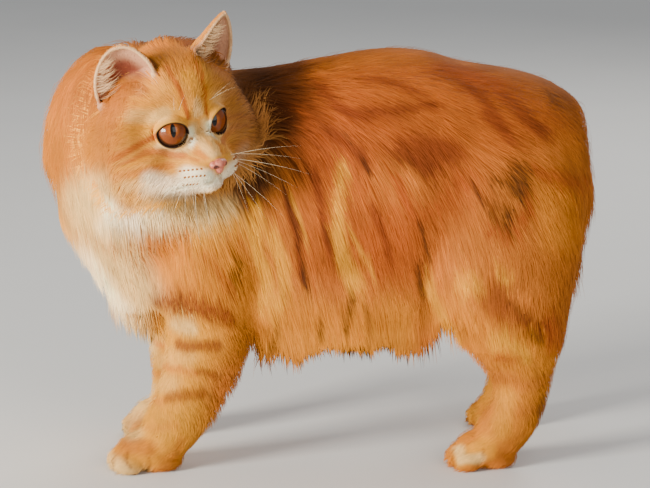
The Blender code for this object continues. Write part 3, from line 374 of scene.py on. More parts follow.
def foreleg(side):
    """A foreleg from shoulder to wrist. The near one reaches further forward than the far one."""
    if side < 0:
        run = [(-0.088, 0.200, 0.036), (-0.087, 0.150, 0.040), (-0.085, 0.112, 0.034),
               (-0.089, 0.085, 0.0310), (-0.097, 0.063, 0.0265), (-0.107, 0.042, 0.0240),
               (-0.117, 0.026, 0.0215), (-0.121, 0.016, 0.0190)]
    else:
        run = [(-0.090, 0.200, 0.036), (-0.094, 0.150, 0.038), (-0.099, 0.112, 0.033),
               (-0.102, 0.085, 0.0295), (-0.104, 0.063, 0.0260), (-0.105, 0.042, 0.0230),
               (-0.109, 0.026, 0.0210), (-0.112, 0.016, 0.0190)]
    inset = [0.018, 0.004, 0, 0, 0, 0, 0, 0]
    lateral = [0.020, 0.029, 0.0265, 0.0245, 0.0215, 0.0205, 0.0205, 0.0195]
    return leg_loft(side, FORE_TRACK, run, inset, lateral)


def hind_leg(side):
    """A hind leg from hip to hock and down to the foot. The near one stands further forward."""
    if side < 0:
        run = [(0.118, 0.200, 0.060), (0.121, 0.170, 0.0600), (0.122, 0.148, 0.0570),
               (0.126, 0.125, 0.0500), (0.131, 0.103, 0.0415), (0.135, 0.085, 0.0335),
               (0.1375, 0.068, 0.0250), (0.1375, 0.055, 0.0215), (0.133, 0.040, 0.0210),
               (0.124, 0.026, 0.0205), (0.116, 0.016, 0.0180)]
    else:
        run = [(0.118, 0.200, 0.060), (0.123, 0.170, 0.0580), (0.126, 0.148, 0.0540),
               (0.131, 0.125, 0.0465), (0.137, 0.103, 0.0385), (0.142, 0.085, 0.0305),
               (0.1450, 0.068, 0.0220), (0.1460, 0.055, 0.0195), (0.145, 0.040, 0.0190),
               (0.142, 0.026, 0.0190), (0.138, 0.016, 0.0170)]
    inset = [0.014, 0.008, 0.004, 0.002, 0, 0, 0, 0, 0, 0, 0]
    lateral = [0.036, 0.036, 0.034, 0.031, 0.027, 0.0225, 0.0195, 0.018, 0.018, 0.0185, 0.018]
    return leg_loft(side, HIND_TRACK, run, inset, lateral)


PAW_SINK = 0.0021
PAWS = {
    "forepaw_left": (-0.1285, -FORE_TRACK, 1.0),
    "forepaw_right": (-0.1180, FORE_TRACK, 1.0),
    "hindpaw_left": (0.1130, -HIND_TRACK, 0.94),
    "hindpaw_right": (0.1410, HIND_TRACK, 0.94),
}
TOE_SPREAD = (-0.0150, -0.0053, 0.0053, 0.0150)
TOE_REACH = (0.0160, 0.0200, 0.0215, 0.0180)


def paw_pieces(name):
    """A paw: its round back, its pad and four toes."""
    x, y, size = PAWS[name]

    def placed(dx, dy, dz, rx, ry, rz):
        return ellipsoid((x - dx * size, y + dy, dz * size - PAW_SINK), (rx * size, ry, rz * size))

    pieces = [placed(0.002, 0, 0.017, 0.024, 0.0205, 0.0165), placed(-0.006, 0, 0.008, 0.018, 0.0170, 0.009)]
    for dy, dx in zip(TOE_SPREAD, TOE_REACH):
        pieces.append(placed(dx, dy, 0.0095, 0.0115, 0.0066, 0.0100))
        pieces.append(placed(dx - 0.010, dy * 0.9, 0.0160, 0.0130, 0.0064, 0.0090))
    return pieces


# Marks on the face and skull out to the tips of the short coat, in the head's frame, for its left half
HEAD_CORE = np.array((-0.006, 0.0, -0.004))
FACE_MARKS = [
    (-0.010, 0.000, 0.0455), (0.006, 0.000, 0.0425), (0.018, 0.000, 0.0350),
    (0.0275, 0.000, 0.0240), (0.0330, 0.000, 0.0130), (0.0370, 0.000, 0.0040),
    (0.0415, 0.000, -0.0035), (0.0480, 0.000, -0.0095), (0.0510, 0.000, -0.0135),
    (0.0500, 0.000, -0.0180), (0.0485, 0.000, -0.0230), (0.0470, 0.000, -0.0280),
    (0.0435, 0.000, -0.0335), (0.0370, 0.000, -0.0385), (0.0220, 0.000, -0.0430),
    (0.0040, 0.000, -0.0480), (0.0400, 0.0075, -0.0070), (0.0345, 0.0050, 0.0030),
    (0.0300, 0.0090, 0.0140), (0.0245, 0.0125, 0.0240), (0.0440, 0.0100, -0.0130),
    (0.0465, 0.0110, -0.0200), (0.0420, 0.0175, -0.0240), (0.0350, 0.0200, -0.0140),
    (0.0390, 0.0130, -0.0315), (0.0300, 0.0230, -0.0330), (0.0320, 0.0270, -0.0200),
    (0.0240, 0.0360, -0.0080), (0.0250, 0.0450, -0.0220), (0.0165, 0.0590, -0.0200),
    (0.0080, 0.0675, -0.0190), (-0.0080, 0.0690, -0.0170), (-0.0250, 0.0600, -0.0120),
    (0.0120, 0.0520, -0.0400), (0.0150, 0.0300, -0.0440), (-0.0020, 0.0600, -0.0400),
    (0.0150, 0.0480, 0.0000), (0.0050, 0.0560, 0.0080), (-0.0120, 0.0560, 0.0160),
    (0.0060, 0.0460, 0.0210), (0.0190, 0.0300, 0.0190), (0.0110, 0.0330, 0.0290),
    (0.0050, 0.0200, 0.0400), (-0.0080, 0.0400, 0.0340), (-0.0350, 0.000, 0.0330),
    (-0.0480, 0.000, 0.0080), (-0.0300, 0.0330, 0.0280), (-0.0400, 0.0350, 0.0000),
    (-0.0420, 0.000, -0.0250), (-0.0200, 0.000, -0.0480), (-0.0280, 0.0400, -0.0350),
]


def face_marks():
    """All marks of the head's surface: those of both halves, and rings just outside the lids."""
    marks = []
    for x, y, z in FACE_MARKS:
        marks.append((x, y, z))
        if y > 0:
            marks.append((x, -y, z))
    around = np.linspace(0, 2 * math.pi, 10, endpoint=False)
    for side in (1, -1):
        ring = on_eye(side, around, 1.40, EYE_RADIUS + LID_RISE)
        marks.extend(p for p in ring if p[1] * side > 0.010)
        marks.extend(on_eye(side, around[:1], 0.0, EYE_RADIUS + LID_RISE))
    return np.array(marks)


def head_shell():
    """A closed surface about the head's core that passes smoothly through the marks."""
    marks = face_marks() - HEAD_CORE
    reach = np.linalg.norm(marks, axis=1)
    ways = marks / reach[:, None]

    def kernel(a, b):
        apart = np.linalg.norm(a[:, None] - b[None], axis=2)
        return apart**2 * np.log(apart + 1e-9)

    def flat(a):
        return np.hstack([a, np.ones((len(a), 1))])

    count = len(ways)
    system = np.zeros((count + 4, count + 4))
    system[:count, :count] = kernel(ways, ways) + 0.002 * np.eye(count)
    system[:count, count:] = flat(ways)
    system[count:, :count] = flat(ways).T
    weights = np.linalg.solve(system, np.append(reach, (0, 0, 0, 0)))
    mesh = bmesh.new()
    bmesh.ops.create_icosphere(mesh, subdivisions=6, radius=1.0)
    places = np.array([v.co for v in mesh.verts])
    places /= np.linalg.norm(places, axis=1)[:, None]
    radius = kernel(places, ways) @ weights[:count] + flat(places) @ weights[count:]
    for vertex, place in zip(mesh.verts, HEAD_CORE + places * radius[:, None]):
        vertex.co = place
    return mesh


def head_pieces():
    """The head in its own frame: the shell, the whisker pads and the chin."""
    pieces = [head_shell()]
    pieces += both_sides((0.0395, 0.0098, -0.0205), (0.0120, 0.0112, 0.0090))
    pieces.append(ellipsoid((0.0370, 0, -0.0315), (0.0110, 0.0100, 0.0070)))
    return pieces


def eye_frame(side):
    """Centre, outward axis, sideways and upward directions of an eye, in the head's frame."""
    x, y, z = EYE_CENTRE
    turn = Matrix.Rotation(side * EYE_OUTWARD, 3, "Z") @ Matrix.Rotation(-EYE_UPWARD, 3, "Y")
    centre = np.array((x, side * y, z))
    return centre, *(np.array(turn @ Vector(v)) for v in ((1, 0, 0), (0, side, 0), (0, 0, 1)))


def lid_angle(around):
    """How far from the eye's axis the lids' edge lies, in radians, at an angle round the axis."""
    wide = math.asin(EYE_HALF_WIDTH / EYE_RADIUS)
    high = math.asin(EYE_HALF_HEIGHT / EYE_RADIUS)
    c, s = np.cos(around), np.sin(around)
    oval = 1 / np.sqrt((c / wide) ** 2 + (s / high) ** 2)
    inner_corner = 0.13 * np.exp(-(((around - math.radians(200)) / 0.24) ** 2))
    outer_corner = 0.05 * np.exp(-((np.angle(np.exp(1j * (around - 0.15))) / 0.25) ** 2))
    return oval * (1 + inner_corner + outer_corner)


def on_eye(side, around, share, radius):
    """Points at shares of the lids' angle and at radii from the eye's centre, in the head's frame."""
    centre, axis, outward, upward = eye_frame(side)
    tilt = lid_angle(around) * share
    flat = np.outer(np.cos(around), outward) + np.outer(np.sin(around), upward)
    return centre + radius * (np.cos(tilt)[:, None] * axis + np.sin(tilt)[:, None] * flat)


def ring_mesh(rings, closed_section):
    """Quads between rings of points that each run all the way round."""
    mesh = bmesh.new()
    rows = [[mesh.verts.new(p) for p in ring] for ring in rings]
    pairs = list(zip(rows, rows[1:] + rows[:1])) if closed_section else list(zip(rows, rows[1:]))
    for low, high in pairs:
        for i in range(len(low)):
            j = (i + 1) % len(low)
            mesh.faces.new((low[i], low[j], high[j], high[i]))
    if not closed_section:
        mesh.faces.new(rows[0])
        mesh.faces.new(rows[-1])
    bmesh.ops.recalc_face_normals(mesh, faces=mesh.faces)
    return mesh


# The section of both lids, each row a share of the lids' angle and a height over the eyeball
LID_SECTION = (
    (1.10, -0.0004), (1.00, 0.00010), (0.975, 0.0005), (0.97, 0.0010), (0.985, 0.0014), (1.03, 0.0017),
    (1.10, 0.0018), (1.19, 0.0017), (1.26, 0.0012), (1.32, 0.0002), (1.20, -0.0004),
)
ROUND_EYE = np.linspace(0, 2 * math.pi, 72, endpoint=False)


def lids(side):
    """The ring of both lids round an eye."""
    rings = [on_eye(side, ROUND_EYE, share, EYE_RADIUS + rise) for share, rise in LID_SECTION]
    return ring_mesh(rings, True)


def eye_opening(side):
    """The almond-shaped plug that opens the face in front of an eye."""
    rings = [(1.12, 0.6)] + [(share, 1.4) for share in (1.12, 0.8, 0.5, 0.2)]
    return ring_mesh([on_eye(side, ROUND_EYE, share, EYE_RADIUS * out) for share, out in rings], False)


def sculpt_eyes(points):
    """Draws the face round each eye to the level of its lids."""
    for side in (1, -1):
        centre, axis = eye_frame(side)[:2]
        offset = points - centre
        distance = np.linalg.norm(offset, axis=1)
        tilt = np.arccos(np.clip(offset @ axis / distance, -1, 1))
        near = step(-tilt, -1.56, -1.30) * step(-distance, -0.030, -0.023)
        wanted = EYE_RADIUS + LID_RISE
        points = centre + offset * (1 + near * (wanted / distance - 1))[:, None]
    return points


MOUTH_GROOVE = 0.0008
MOUTH_CORNER = (0.0270, 0.0185, -0.0300)


def mouth_line():
    """The philtrum and the line between the lips, from one corner to the other, in the head's frame."""
    half = [(0.0500, 0.0012, -0.0245), (0.0490, 0.0050, -0.0290), (0.0440, 0.0105, -0.0305),
            (0.0360, 0.0155, -0.0300), MOUTH_CORNER]
    left = smooth_stations(half, 3)
    return np.vstack([left[::-1], left * (1, -1, 1)])


EAR_THICKNESS = 0.0018
EAR_SINK = 0.018
EAR_ROWS = 22
EAR_COLUMNS = 25
# Middle of the root, direction of rise, height, half width, cup, outward turn in degrees, bluntness of
# the tip, fullness half way up
EARS = {
    1: ((-0.0060, 0.0320, 0.0310), (0.157, 0.46, 0.89), 0.0385, 0.0205, 0.0130, 14.0, 0.80, -0.04),
    -1: ((-0.0070, -0.0350, 0.0260), (0.08, -0.20, 0.95), 0.0345, 0.0200, 0.0130, 32.0, 0.42, 0.08),
}


def ear_points(side):
    """The ear as a sheet: rows from its root to its tip, columns from its inner to its outer edge."""
    place, rise, height, half_width, depth, face, blunt, full = EARS[side]
    rise = np.array(rise) / np.linalg.norm(rise)
    face = math.radians(face)
    ahead = np.array((math.cos(face), side * math.sin(face), 0.0))
    ahead -= rise * (ahead @ rise)
    ahead /= np.linalg.norm(ahead)
    across = np.cross(rise, ahead) * -side
    found = []
    levels = np.sin(np.linspace(0, math.pi / 2, EAR_ROWS)) ** 0.9
    for v in np.append(-EAR_SINK / height, levels):
        up = max(v, 0)
        width = half_width * max(1 - up**2.0, 0.0) ** blunt * (1 + full * math.sin(math.pi * up))
        cup = depth * (1 - 0.82 * up**1.2)
        angle = np.radians(np.linspace(-100, 100, EAR_COLUMNS))
        lean = 0.006 * up**2
        found.append(
            np.array(place) + rise * (v * height) - ahead * lean
            + np.outer(np.sin(angle) * width, across) - np.outer(np.cos(angle) * cup, ahead)
        )
    return found


def nose_pieces():
    """The nose leather: its middle, its two wings and the point above the lip."""
    pieces = [ellipsoid((0.0503, 0, -0.0141), (0.0040, 0.0050, 0.0034))]
    pieces.append(ellipsoid((0.0500, 0, -0.0174), (0.0034, 0.0030, 0.0042)))
    pieces += both_sides((0.0487, 0.0040, -0.0148), (0.0037, 0.0029, 0.0027))
    return pieces


NOSTRIL = (0.0526, 0.0042, -0.0156)
NOSTRIL_TURN = math.radians(30)


def nostril(side):
    """The cutter of one nostril, which rises and turns outwards."""
    x, y, z = NOSTRIL
    return ellipsoid((x, side * y, z), (0.0024, 0.0019, 0.0010), side * NOSTRIL_TURN, "X", 8)


def copied(obj, name):
    """A second object with its own copy of the mesh."""
    twin = obj.copy()
    twin.data = obj.data.copy()
    twin.name = name
    bpy.context.scene.collection.objects.link(twin)
    return twin


def grown(obj, name, by):
    """A copy of an object swollen along its normals."""
    twin = copied(obj, name)
    points, normals = points_of(twin)
    set_points(twin, points + normals * by)
    return twin


def combined(obj, other, operation):
    """The object joined with, cut by or kept within another, applied. The other object is removed."""
    modifier = obj.modifiers.new(operation, "BOOLEAN")
    modifier.object = other
    modifier.operation = operation
    modifier.solver = "MANIFOLD"
    applied(obj)
    bpy.data.objects.remove(other)
    return obj


def tube(points, radius):
    """A closed round rod along a line of points."""
    rows = [(*p, radius, radius) for p in points]
    return loft(rows, (0.05, 0.1, 1), steps=1, sides=8)


def block(low, high):
    """A box between two corners."""
    mesh = bmesh.new()
    bmesh.ops.create_cube(mesh, size=1.0)
    for vertex in mesh.verts:
        vertex.co = [low[i] if vertex.co[i] < 0 else high[i] for i in range(3)]
    return mesh


def ear(side):
    """The ear's shell with its rounded rim, in the head's frame."""
    mesh = bmesh.new()
    rows = [[mesh.verts.new(p) for p in row] for row in ear_points(side)]
    for low, high in zip(rows, rows[1:]):
        for i in range(len(low) - 1):
            mesh.faces.new((low[i], low[i + 1], high[i + 1], high[i]))
    bmesh.ops.remove_doubles(mesh, verts=mesh.verts, dist=0.0003)
    bmesh.ops.recalc_face_normals(mesh, faces=mesh.faces)
    data = bpy.data.meshes.new("ear")
    mesh.to_mesh(data)
    mesh.free()
    shell = new_object("ear", data)
    thick = shell.modifiers.new("thickness", "SOLIDIFY")
    thick.thickness = EAR_THICKNESS
    thick.offset = 0
    return applied(shell)


PAW_TOP = 0.046
PAW_TAPER = 0.0018
TOE_GAPS = (-0.0102, 0.0, 0.0102)
TOE_GROOVE = 0.0030
TOE_GROOVE_WIDTH = 0.0014


def toe_grooves(paw, name):
    """Sinks the furrows between the toes of a paw, and narrows its top."""
    x, y, size = PAWS[name]
    points, normals = points_of(paw)
    front = step(x - points[:, 0], 0.006, 0.013)
    across = points[:, 1]
    furrow = sum(np.exp(-(((across - y - between) / TOE_GROOVE_WIDTH) ** 2)) for between in TOE_GAPS)
    # the top of the paw narrows into the leg, so that no ledge is left round it
    taper = PAW_TAPER * step(points[:, 2], 0.026, 0.044)
    set_points(paw, points - normals * (TOE_GROOVE * front * furrow + taper)[:, None])


# The whole surface, out to the tips of the coat
legs = [foreleg(-1), foreleg(1), hind_leg(-1), hind_leg(1)]
whole = clay("whole", torso_pieces() + neck_pieces() + legs, BODY_VOXEL, BODY_SMOOTHING)
for name in PAWS:
    kind, side_name = name.split("_")
    side = -1 if side_name == "left" else 1
    limb = foreleg(side) if kind == "forepaw" else hind_leg(side)
    paw = clay(name, paw_pieces(name) + [limb], PAW_VOXEL, PAW_SMOOTHING)
    toe_grooves(paw, name)
    combined(paw, object_from(block((-0.4, -0.4, 0.0), (0.4, 0.4, PAW_TOP)), "span"), "INTERSECT")
    combined(whole, paw, "UNION")

head = clay("head", head_pieces(), HEAD_VOXEL, HEAD_SMOOTHING)
places, normals = points_of(head)
set_points(head, sculpt_eyes(places))
head_outside = copied(head, "head outside")
nose = clay("nose", nose_pieces(), NOSE_VOXEL, NOSE_SMOOTHING)
bed = grown(nose, "nose bed", -0.0002)
for side in (1, -1):
    combined(nose, object_from(nostril(side), "nostril"), "DIFFERENCE")
    combined(head, object_from(eye_opening(side), "opening"), "DIFFERENCE")
    combined(head, object_from(fine_ball(eye_frame(side)[0], SOCKET_RADIUS), "socket"), "DIFFERENCE")
    combined(head, object_from(lids(side), "lids"), "UNION")
combined(head, bed, "DIFFERENCE")
head_surface = Surface(head_outside)
lips = head_surface.nearest(mouth_line())[0]
combined(head, object_from(tube(lips, MOUTH_GROOVE), "mouth"), "DIFFERENCE")
ears = [ear(side) for side in (1, -1)]
ears_alone = [copied(one, "ear alone") for one in ears]
for one in ears:
    combined(head, one, "UNION")
for shape in [head, head_outside, nose] + ears_alone:
    shape.data.transform(HEAD)
combined(whole, head, "UNION")

# Where the coat is combed: place, the way the hair lies, depth of the coat and length of its hair, for the
# left side and the middle
COMB = [
    ((-0.060, 0.000, 0.284), (1.0, 0.00, 0.05), 0.010, 0.034),
    ((0.045, 0.000, 0.300), (1.0, 0.00, -0.05), 0.012, 0.036),
    ((0.120, 0.000, 0.285), (1.0, 0.00, -0.35), 0.013, 0.038),
    ((-0.050, -0.045, 0.265), (0.9, -0.15, -0.45), 0.012, 0.036),
    ((0.040, -0.055, 0.265), (0.8, -0.15, -0.60), 0.014, 0.040),
    ((0.120, -0.055, 0.250), (0.8, -0.05, -0.60), 0.014, 0.042),
    ((-0.060, -0.068, 0.215), (0.45, 0.00, -0.90), 0.018, 0.048),
    ((0.010, -0.075, 0.215), (0.40, 0.00, -0.95), 0.018, 0.048),
    ((0.070, -0.078, 0.215), (0.45, 0.00, -0.90), 0.018, 0.046),
    ((-0.050, -0.065, 0.160), (0.25, 0.00, -1.0), 0.020, 0.054),
    ((0.010, -0.068, 0.155), (0.22, 0.00, -1.0), 0.020, 0.054),
    ((0.060, -0.068, 0.165), (0.25, 0.00, -1.0), 0.016, 0.050),
    ((-0.050, -0.055, 0.110), (0.25, 0.05, -1.0), 0.012, 0.046),
    ((0.010, -0.060, 0.106), (0.20, 0.05, -1.0), 0.013, 0.046),
    ((0.055, -0.058, 0.112), (0.10, 0.05, -1.0), 0.012, 0.042),
    ((-0.035, 0.000, 0.098), (0.20, 0.00, -1.0), 0.016, 0.038),
    ((0.040, 0.000, 0.098), (0.20, 0.00, -1.0), 0.018, 0.038),
    ((0.165, -0.040, 0.240), (0.7, -0.10, -0.75), 0.016, 0.044),
    ((0.190, 0.000, 0.215), (0.5, 0.00, -0.90), 0.018, 0.046),
    ((0.170, -0.050, 0.185), (0.4, -0.10, -0.95), 0.016, 0.044),
    ((0.125, -0.080, 0.190), (0.35, 0.00, -0.95), 0.012, 0.040),
    ((0.125, -0.082, 0.140), (0.05, 0.00, -1.0), 0.010, 0.032),
    ((0.170, -0.055, 0.135), (0.15, 0.00, -1.0), 0.014, 0.038),
    ((0.085, -0.070, 0.130), (0.25, 0.00, -1.0), 0.008, 0.028),
    ((-0.190, -0.010, 0.250), (0.10, -0.05, -1.0), 0.016, 0.042),
    ((-0.150, 0.010, 0.305), (-0.60, 0.50, -0.60), 0.014, 0.038),
    ((-0.185, -0.030, 0.205), (0.20, -0.05, -1.0), 0.020, 0.044),
    ((-0.140, -0.075, 0.200), (0.15, 0.00, -1.0), 0.018, 0.042),
    ((-0.115, -0.020, 0.300), (0.40, 0.80, -0.40), 0.012, 0.034),
    ((-0.165, 0.000, 0.160), (0.35, 0.00, -1.0), 0.018, 0.042),
    ((-0.135, -0.030, 0.125), (0.25, 0.00, -1.0), 0.014, 0.036),
    ((-0.095, -0.068, 0.160), (0.20, 0.00, -1.0), 0.012, 0.040),
]
COMB_PLACES = both_halves(np.array([row[0] for row in COMB]))
COMB_WAYS = unit(both_halves(np.array([row[1] for row in COMB])))
COMB_DEPTHS = np.tile([row[2] for row in COMB], 2)
COMB_LENGTHS = np.tile([row[3] for row in COMB], 2)
LEG_DEPTH = 0.0034
LEG_LENGTH = 0.0092
PAW_DEPTH = 0.0018
PAW_LENGTH = 0.0060
CROWN_RISE = 0.0060


def in_batches(work, *arrays, size=20000):
    """The work done on a batch of rows at a time, to spare memory."""
    found = [work(*(a[i:i + size] for a in arrays)) for i in range(0, len(arrays[0]), size)]
    if isinstance(found[0], tuple):
        return tuple(np.concatenate(column) for column in zip(*found))
    return np.concatenate(found)


def combed(points):
    """At each point: the way that the long coat lies, its depth and the length of its hair."""
    apart = np.linalg.norm(points[:, None] - COMB_PLACES[None], axis=2)
    weight = 1 / (apart**2 + 0.012**2) ** 2
    weight /= weight.sum(axis=1)[:, None]
    return unit(weight @ COMB_WAYS), weight @ COMB_DEPTHS, weight @ COMB_LENGTHS


def long_coat(points):
    """1 where the coat is long, 0 on the legs and beside the head."""
    x, y, z = points.T
    fore = step(x, -0.045, -0.060) * step(z, 0.150, 0.125) * step(np.abs(y), 0.012, 0.024)
    hind = step(x, 0.060, 0.075) * step(z, 0.120, 0.095)
    from_head = in_head(points)
    behind = step(-from_head[:, 0], 0.022, 0.045)
    beside = 1 - step(np.linalg.norm(from_head, axis=1), 0.060, 0.085)
    return (1 - fore) * (1 - hind) * (1 - beside * (1 - behind))


NOSE_TIP = np.array((0.0530, 0.0, -0.0130))


def from_line(place, line):
    """Distance of each place from a line through a few points."""
    line = np.array(line, float)
    if len(line) == 1:
        return np.linalg.norm(place - line[0], axis=1)
    best = np.full(len(place), np.inf)
    for a, b in zip(line, line[1:]):
        run = b - a
        share = np.clip((place - a) @ run / (run @ run), 0, 1)
        best = np.minimum(best, np.linalg.norm(place - a - share[:, None] * run, axis=1))
    return best


def lid_share(place, side):
    """How far places in the head's frame lie from an eye's axis, in shares of the lids' angle, and from
    its centre, in metres."""
    centre, axis, outward, upward = eye_frame(side)
    offset = place - centre
    distance = np.maximum(np.linalg.norm(offset, axis=1), 1e-9)
    tilt = np.arccos(np.clip(offset @ axis / distance, -1, 1))
    return tilt / lid_angle(np.arctan2(offset @ upward, offset @ outward)), distance


def face_coat(points):
    """On the head: the way the hair lies, its depth and its length, in the body's frame."""
    place = in_head(points)
    x, y, z = place.T
    from_nose = place - NOSE_TIP
    reach = np.linalg.norm(from_nose, axis=1)
    ways = unit(from_nose)
    ways[:, 0] -= 0.25
    # hair of the cheeks sweeps down and back, hair of the chin down
    low = step(-z, 0.000, 0.030)
    ways[:, 2] -= 0.45 * low * step(np.abs(y), 0.010, 0.040)
    depth = 0.0010 + 0.0016 * step(reach, 0.012, 0.040) + 0.0030 * step(reach, 0.060, 0.090)
    length = 0.0035 + 0.0040 * step(reach, 0.010, 0.040) + 0.0100 * step(reach, 0.052, 0.085)
    length += 0.005 * low * step(reach, 0.030, 0.050)
    lid_near = np.full(len(points), 9.0)
    depth *= step(reach, 0.008, 0.016) * step(from_line(place, lips), 0.0020, 0.0060)
    for side in (1, -1):
        edge, distance = lid_share(place, side)
        lid_near = np.minimum(lid_near, np.where(distance < 0.020, edge, 9.0))
        depth *= step(distance, 0.0150, 0.0210)
        length *= 0.5 + 0.5 * step(distance, 0.0135, 0.0200)
    bare = step(lid_near, 1.02, 1.11)
    return unit(ways @ HEAD_TURNED.T), depth, length, bare


def coat_at(points, on_head, on_ear):
    """At each point: the way that the hair lies, the coat's depth and the length of its hair."""
    ways, depth, length = combed(points)
    share = long_coat(points)
    depth = LEG_DEPTH + (SKIN_SHARE * depth - LEG_DEPTH) * share
    length = LEG_LENGTH + (length - LEG_LENGTH) * share
    z = points[:, 2]
    low = 1 - step(z, 0.016, 0.046)
    depth += (PAW_DEPTH - depth) * low
    length += (PAW_LENGTH - length) * low
    toe_way = np.array((-0.85, 0.0, -0.5))
    ways = unit(ways * (1 - low)[:, None] + toe_way * low[:, None])
    face_ways, face_depth, face_length, bare = face_coat(points)
    blend = on_head[:, None]
    ways = unit(ways * (1 - blend) + face_ways * blend)
    depth = depth * (1 - on_head) + face_depth * on_head
    length = length * (1 - on_head) + face_length * on_head
    depth = depth * (1 - on_ear)
    return ways, depth, length


def near_shape(surface, points, close, far):
    """1 on a shape, falling to 0 between two distances from it."""
    return 1 - step(surface.nearest(points)[2], close, far)


low, high = (Vector(corner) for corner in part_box("eye_left"))
shift = (low + high) / 2 - HEAD @ Vector(eye_frame(1)[0])
centring = Matrix.Translation((shift.x, shift.y, 0))

# A little more height for the hair of the crown, between the ears
points, normals = points_of(whole)
place = in_head(points)
crown = step(place[:, 2], 0.022, 0.036) * (1 - step(np.abs(place[:, 1]), 0.014, 0.028))
crown *= 1 - step(np.abs(place[:, 0] + 0.012), 0.018, 0.040)
set_points(whole, points + crown[:, None] * (HEAD_TURNED @ (0, 0, CROWN_RISE)))

outside = copied(whole, "outside")
coat_surface = Surface(outside, 8)
# the toes keep their own form
middles = np.empty(len(outside.data.polygons) * 3)
outside.data.polygons.foreach_get("center", middles)
low_down = middles.reshape(-1, 3)[:, 2:] < 0.030
coat_surface.ways = np.where(low_down, Surface(outside, 1).ways, coat_surface.ways)
bpy.data.objects.remove(outside)
face_surface = Surface(head_outside)
ear_surfaces = [Surface(one) for one in ears_alone]


def parts_near(points):
    """How far each point belongs to the head, and to the ears."""
    on_head = near_shape(face_surface, points, 0.0008, 0.006)
    on_ear = np.zeros(len(points))
    for surface in ear_surfaces:
        on_ear = np.maximum(on_ear, near_shape(surface, points, 0.0006, 0.0030))
    above = step(in_head(points)[:, 2], 0.010, 0.016)
    return on_head, on_ear * above


points, normals = points_of(whole)
on_head, on_ear = parts_near(points)
ways, depth, length = in_batches(coat_at, points, on_head, on_ear)
inward = unit(normals * on_head[:, None] + coat_surface.nearest(points)[1] * (1 - on_head)[:, None])
skin_points = points - inward * depth[:, None]
skin_points[:, 2] = np.maximum(skin_points[:, 2], FLOOR_GAP)
set_points(whole, skin_points)
skin = whole
skin.name = "skin"


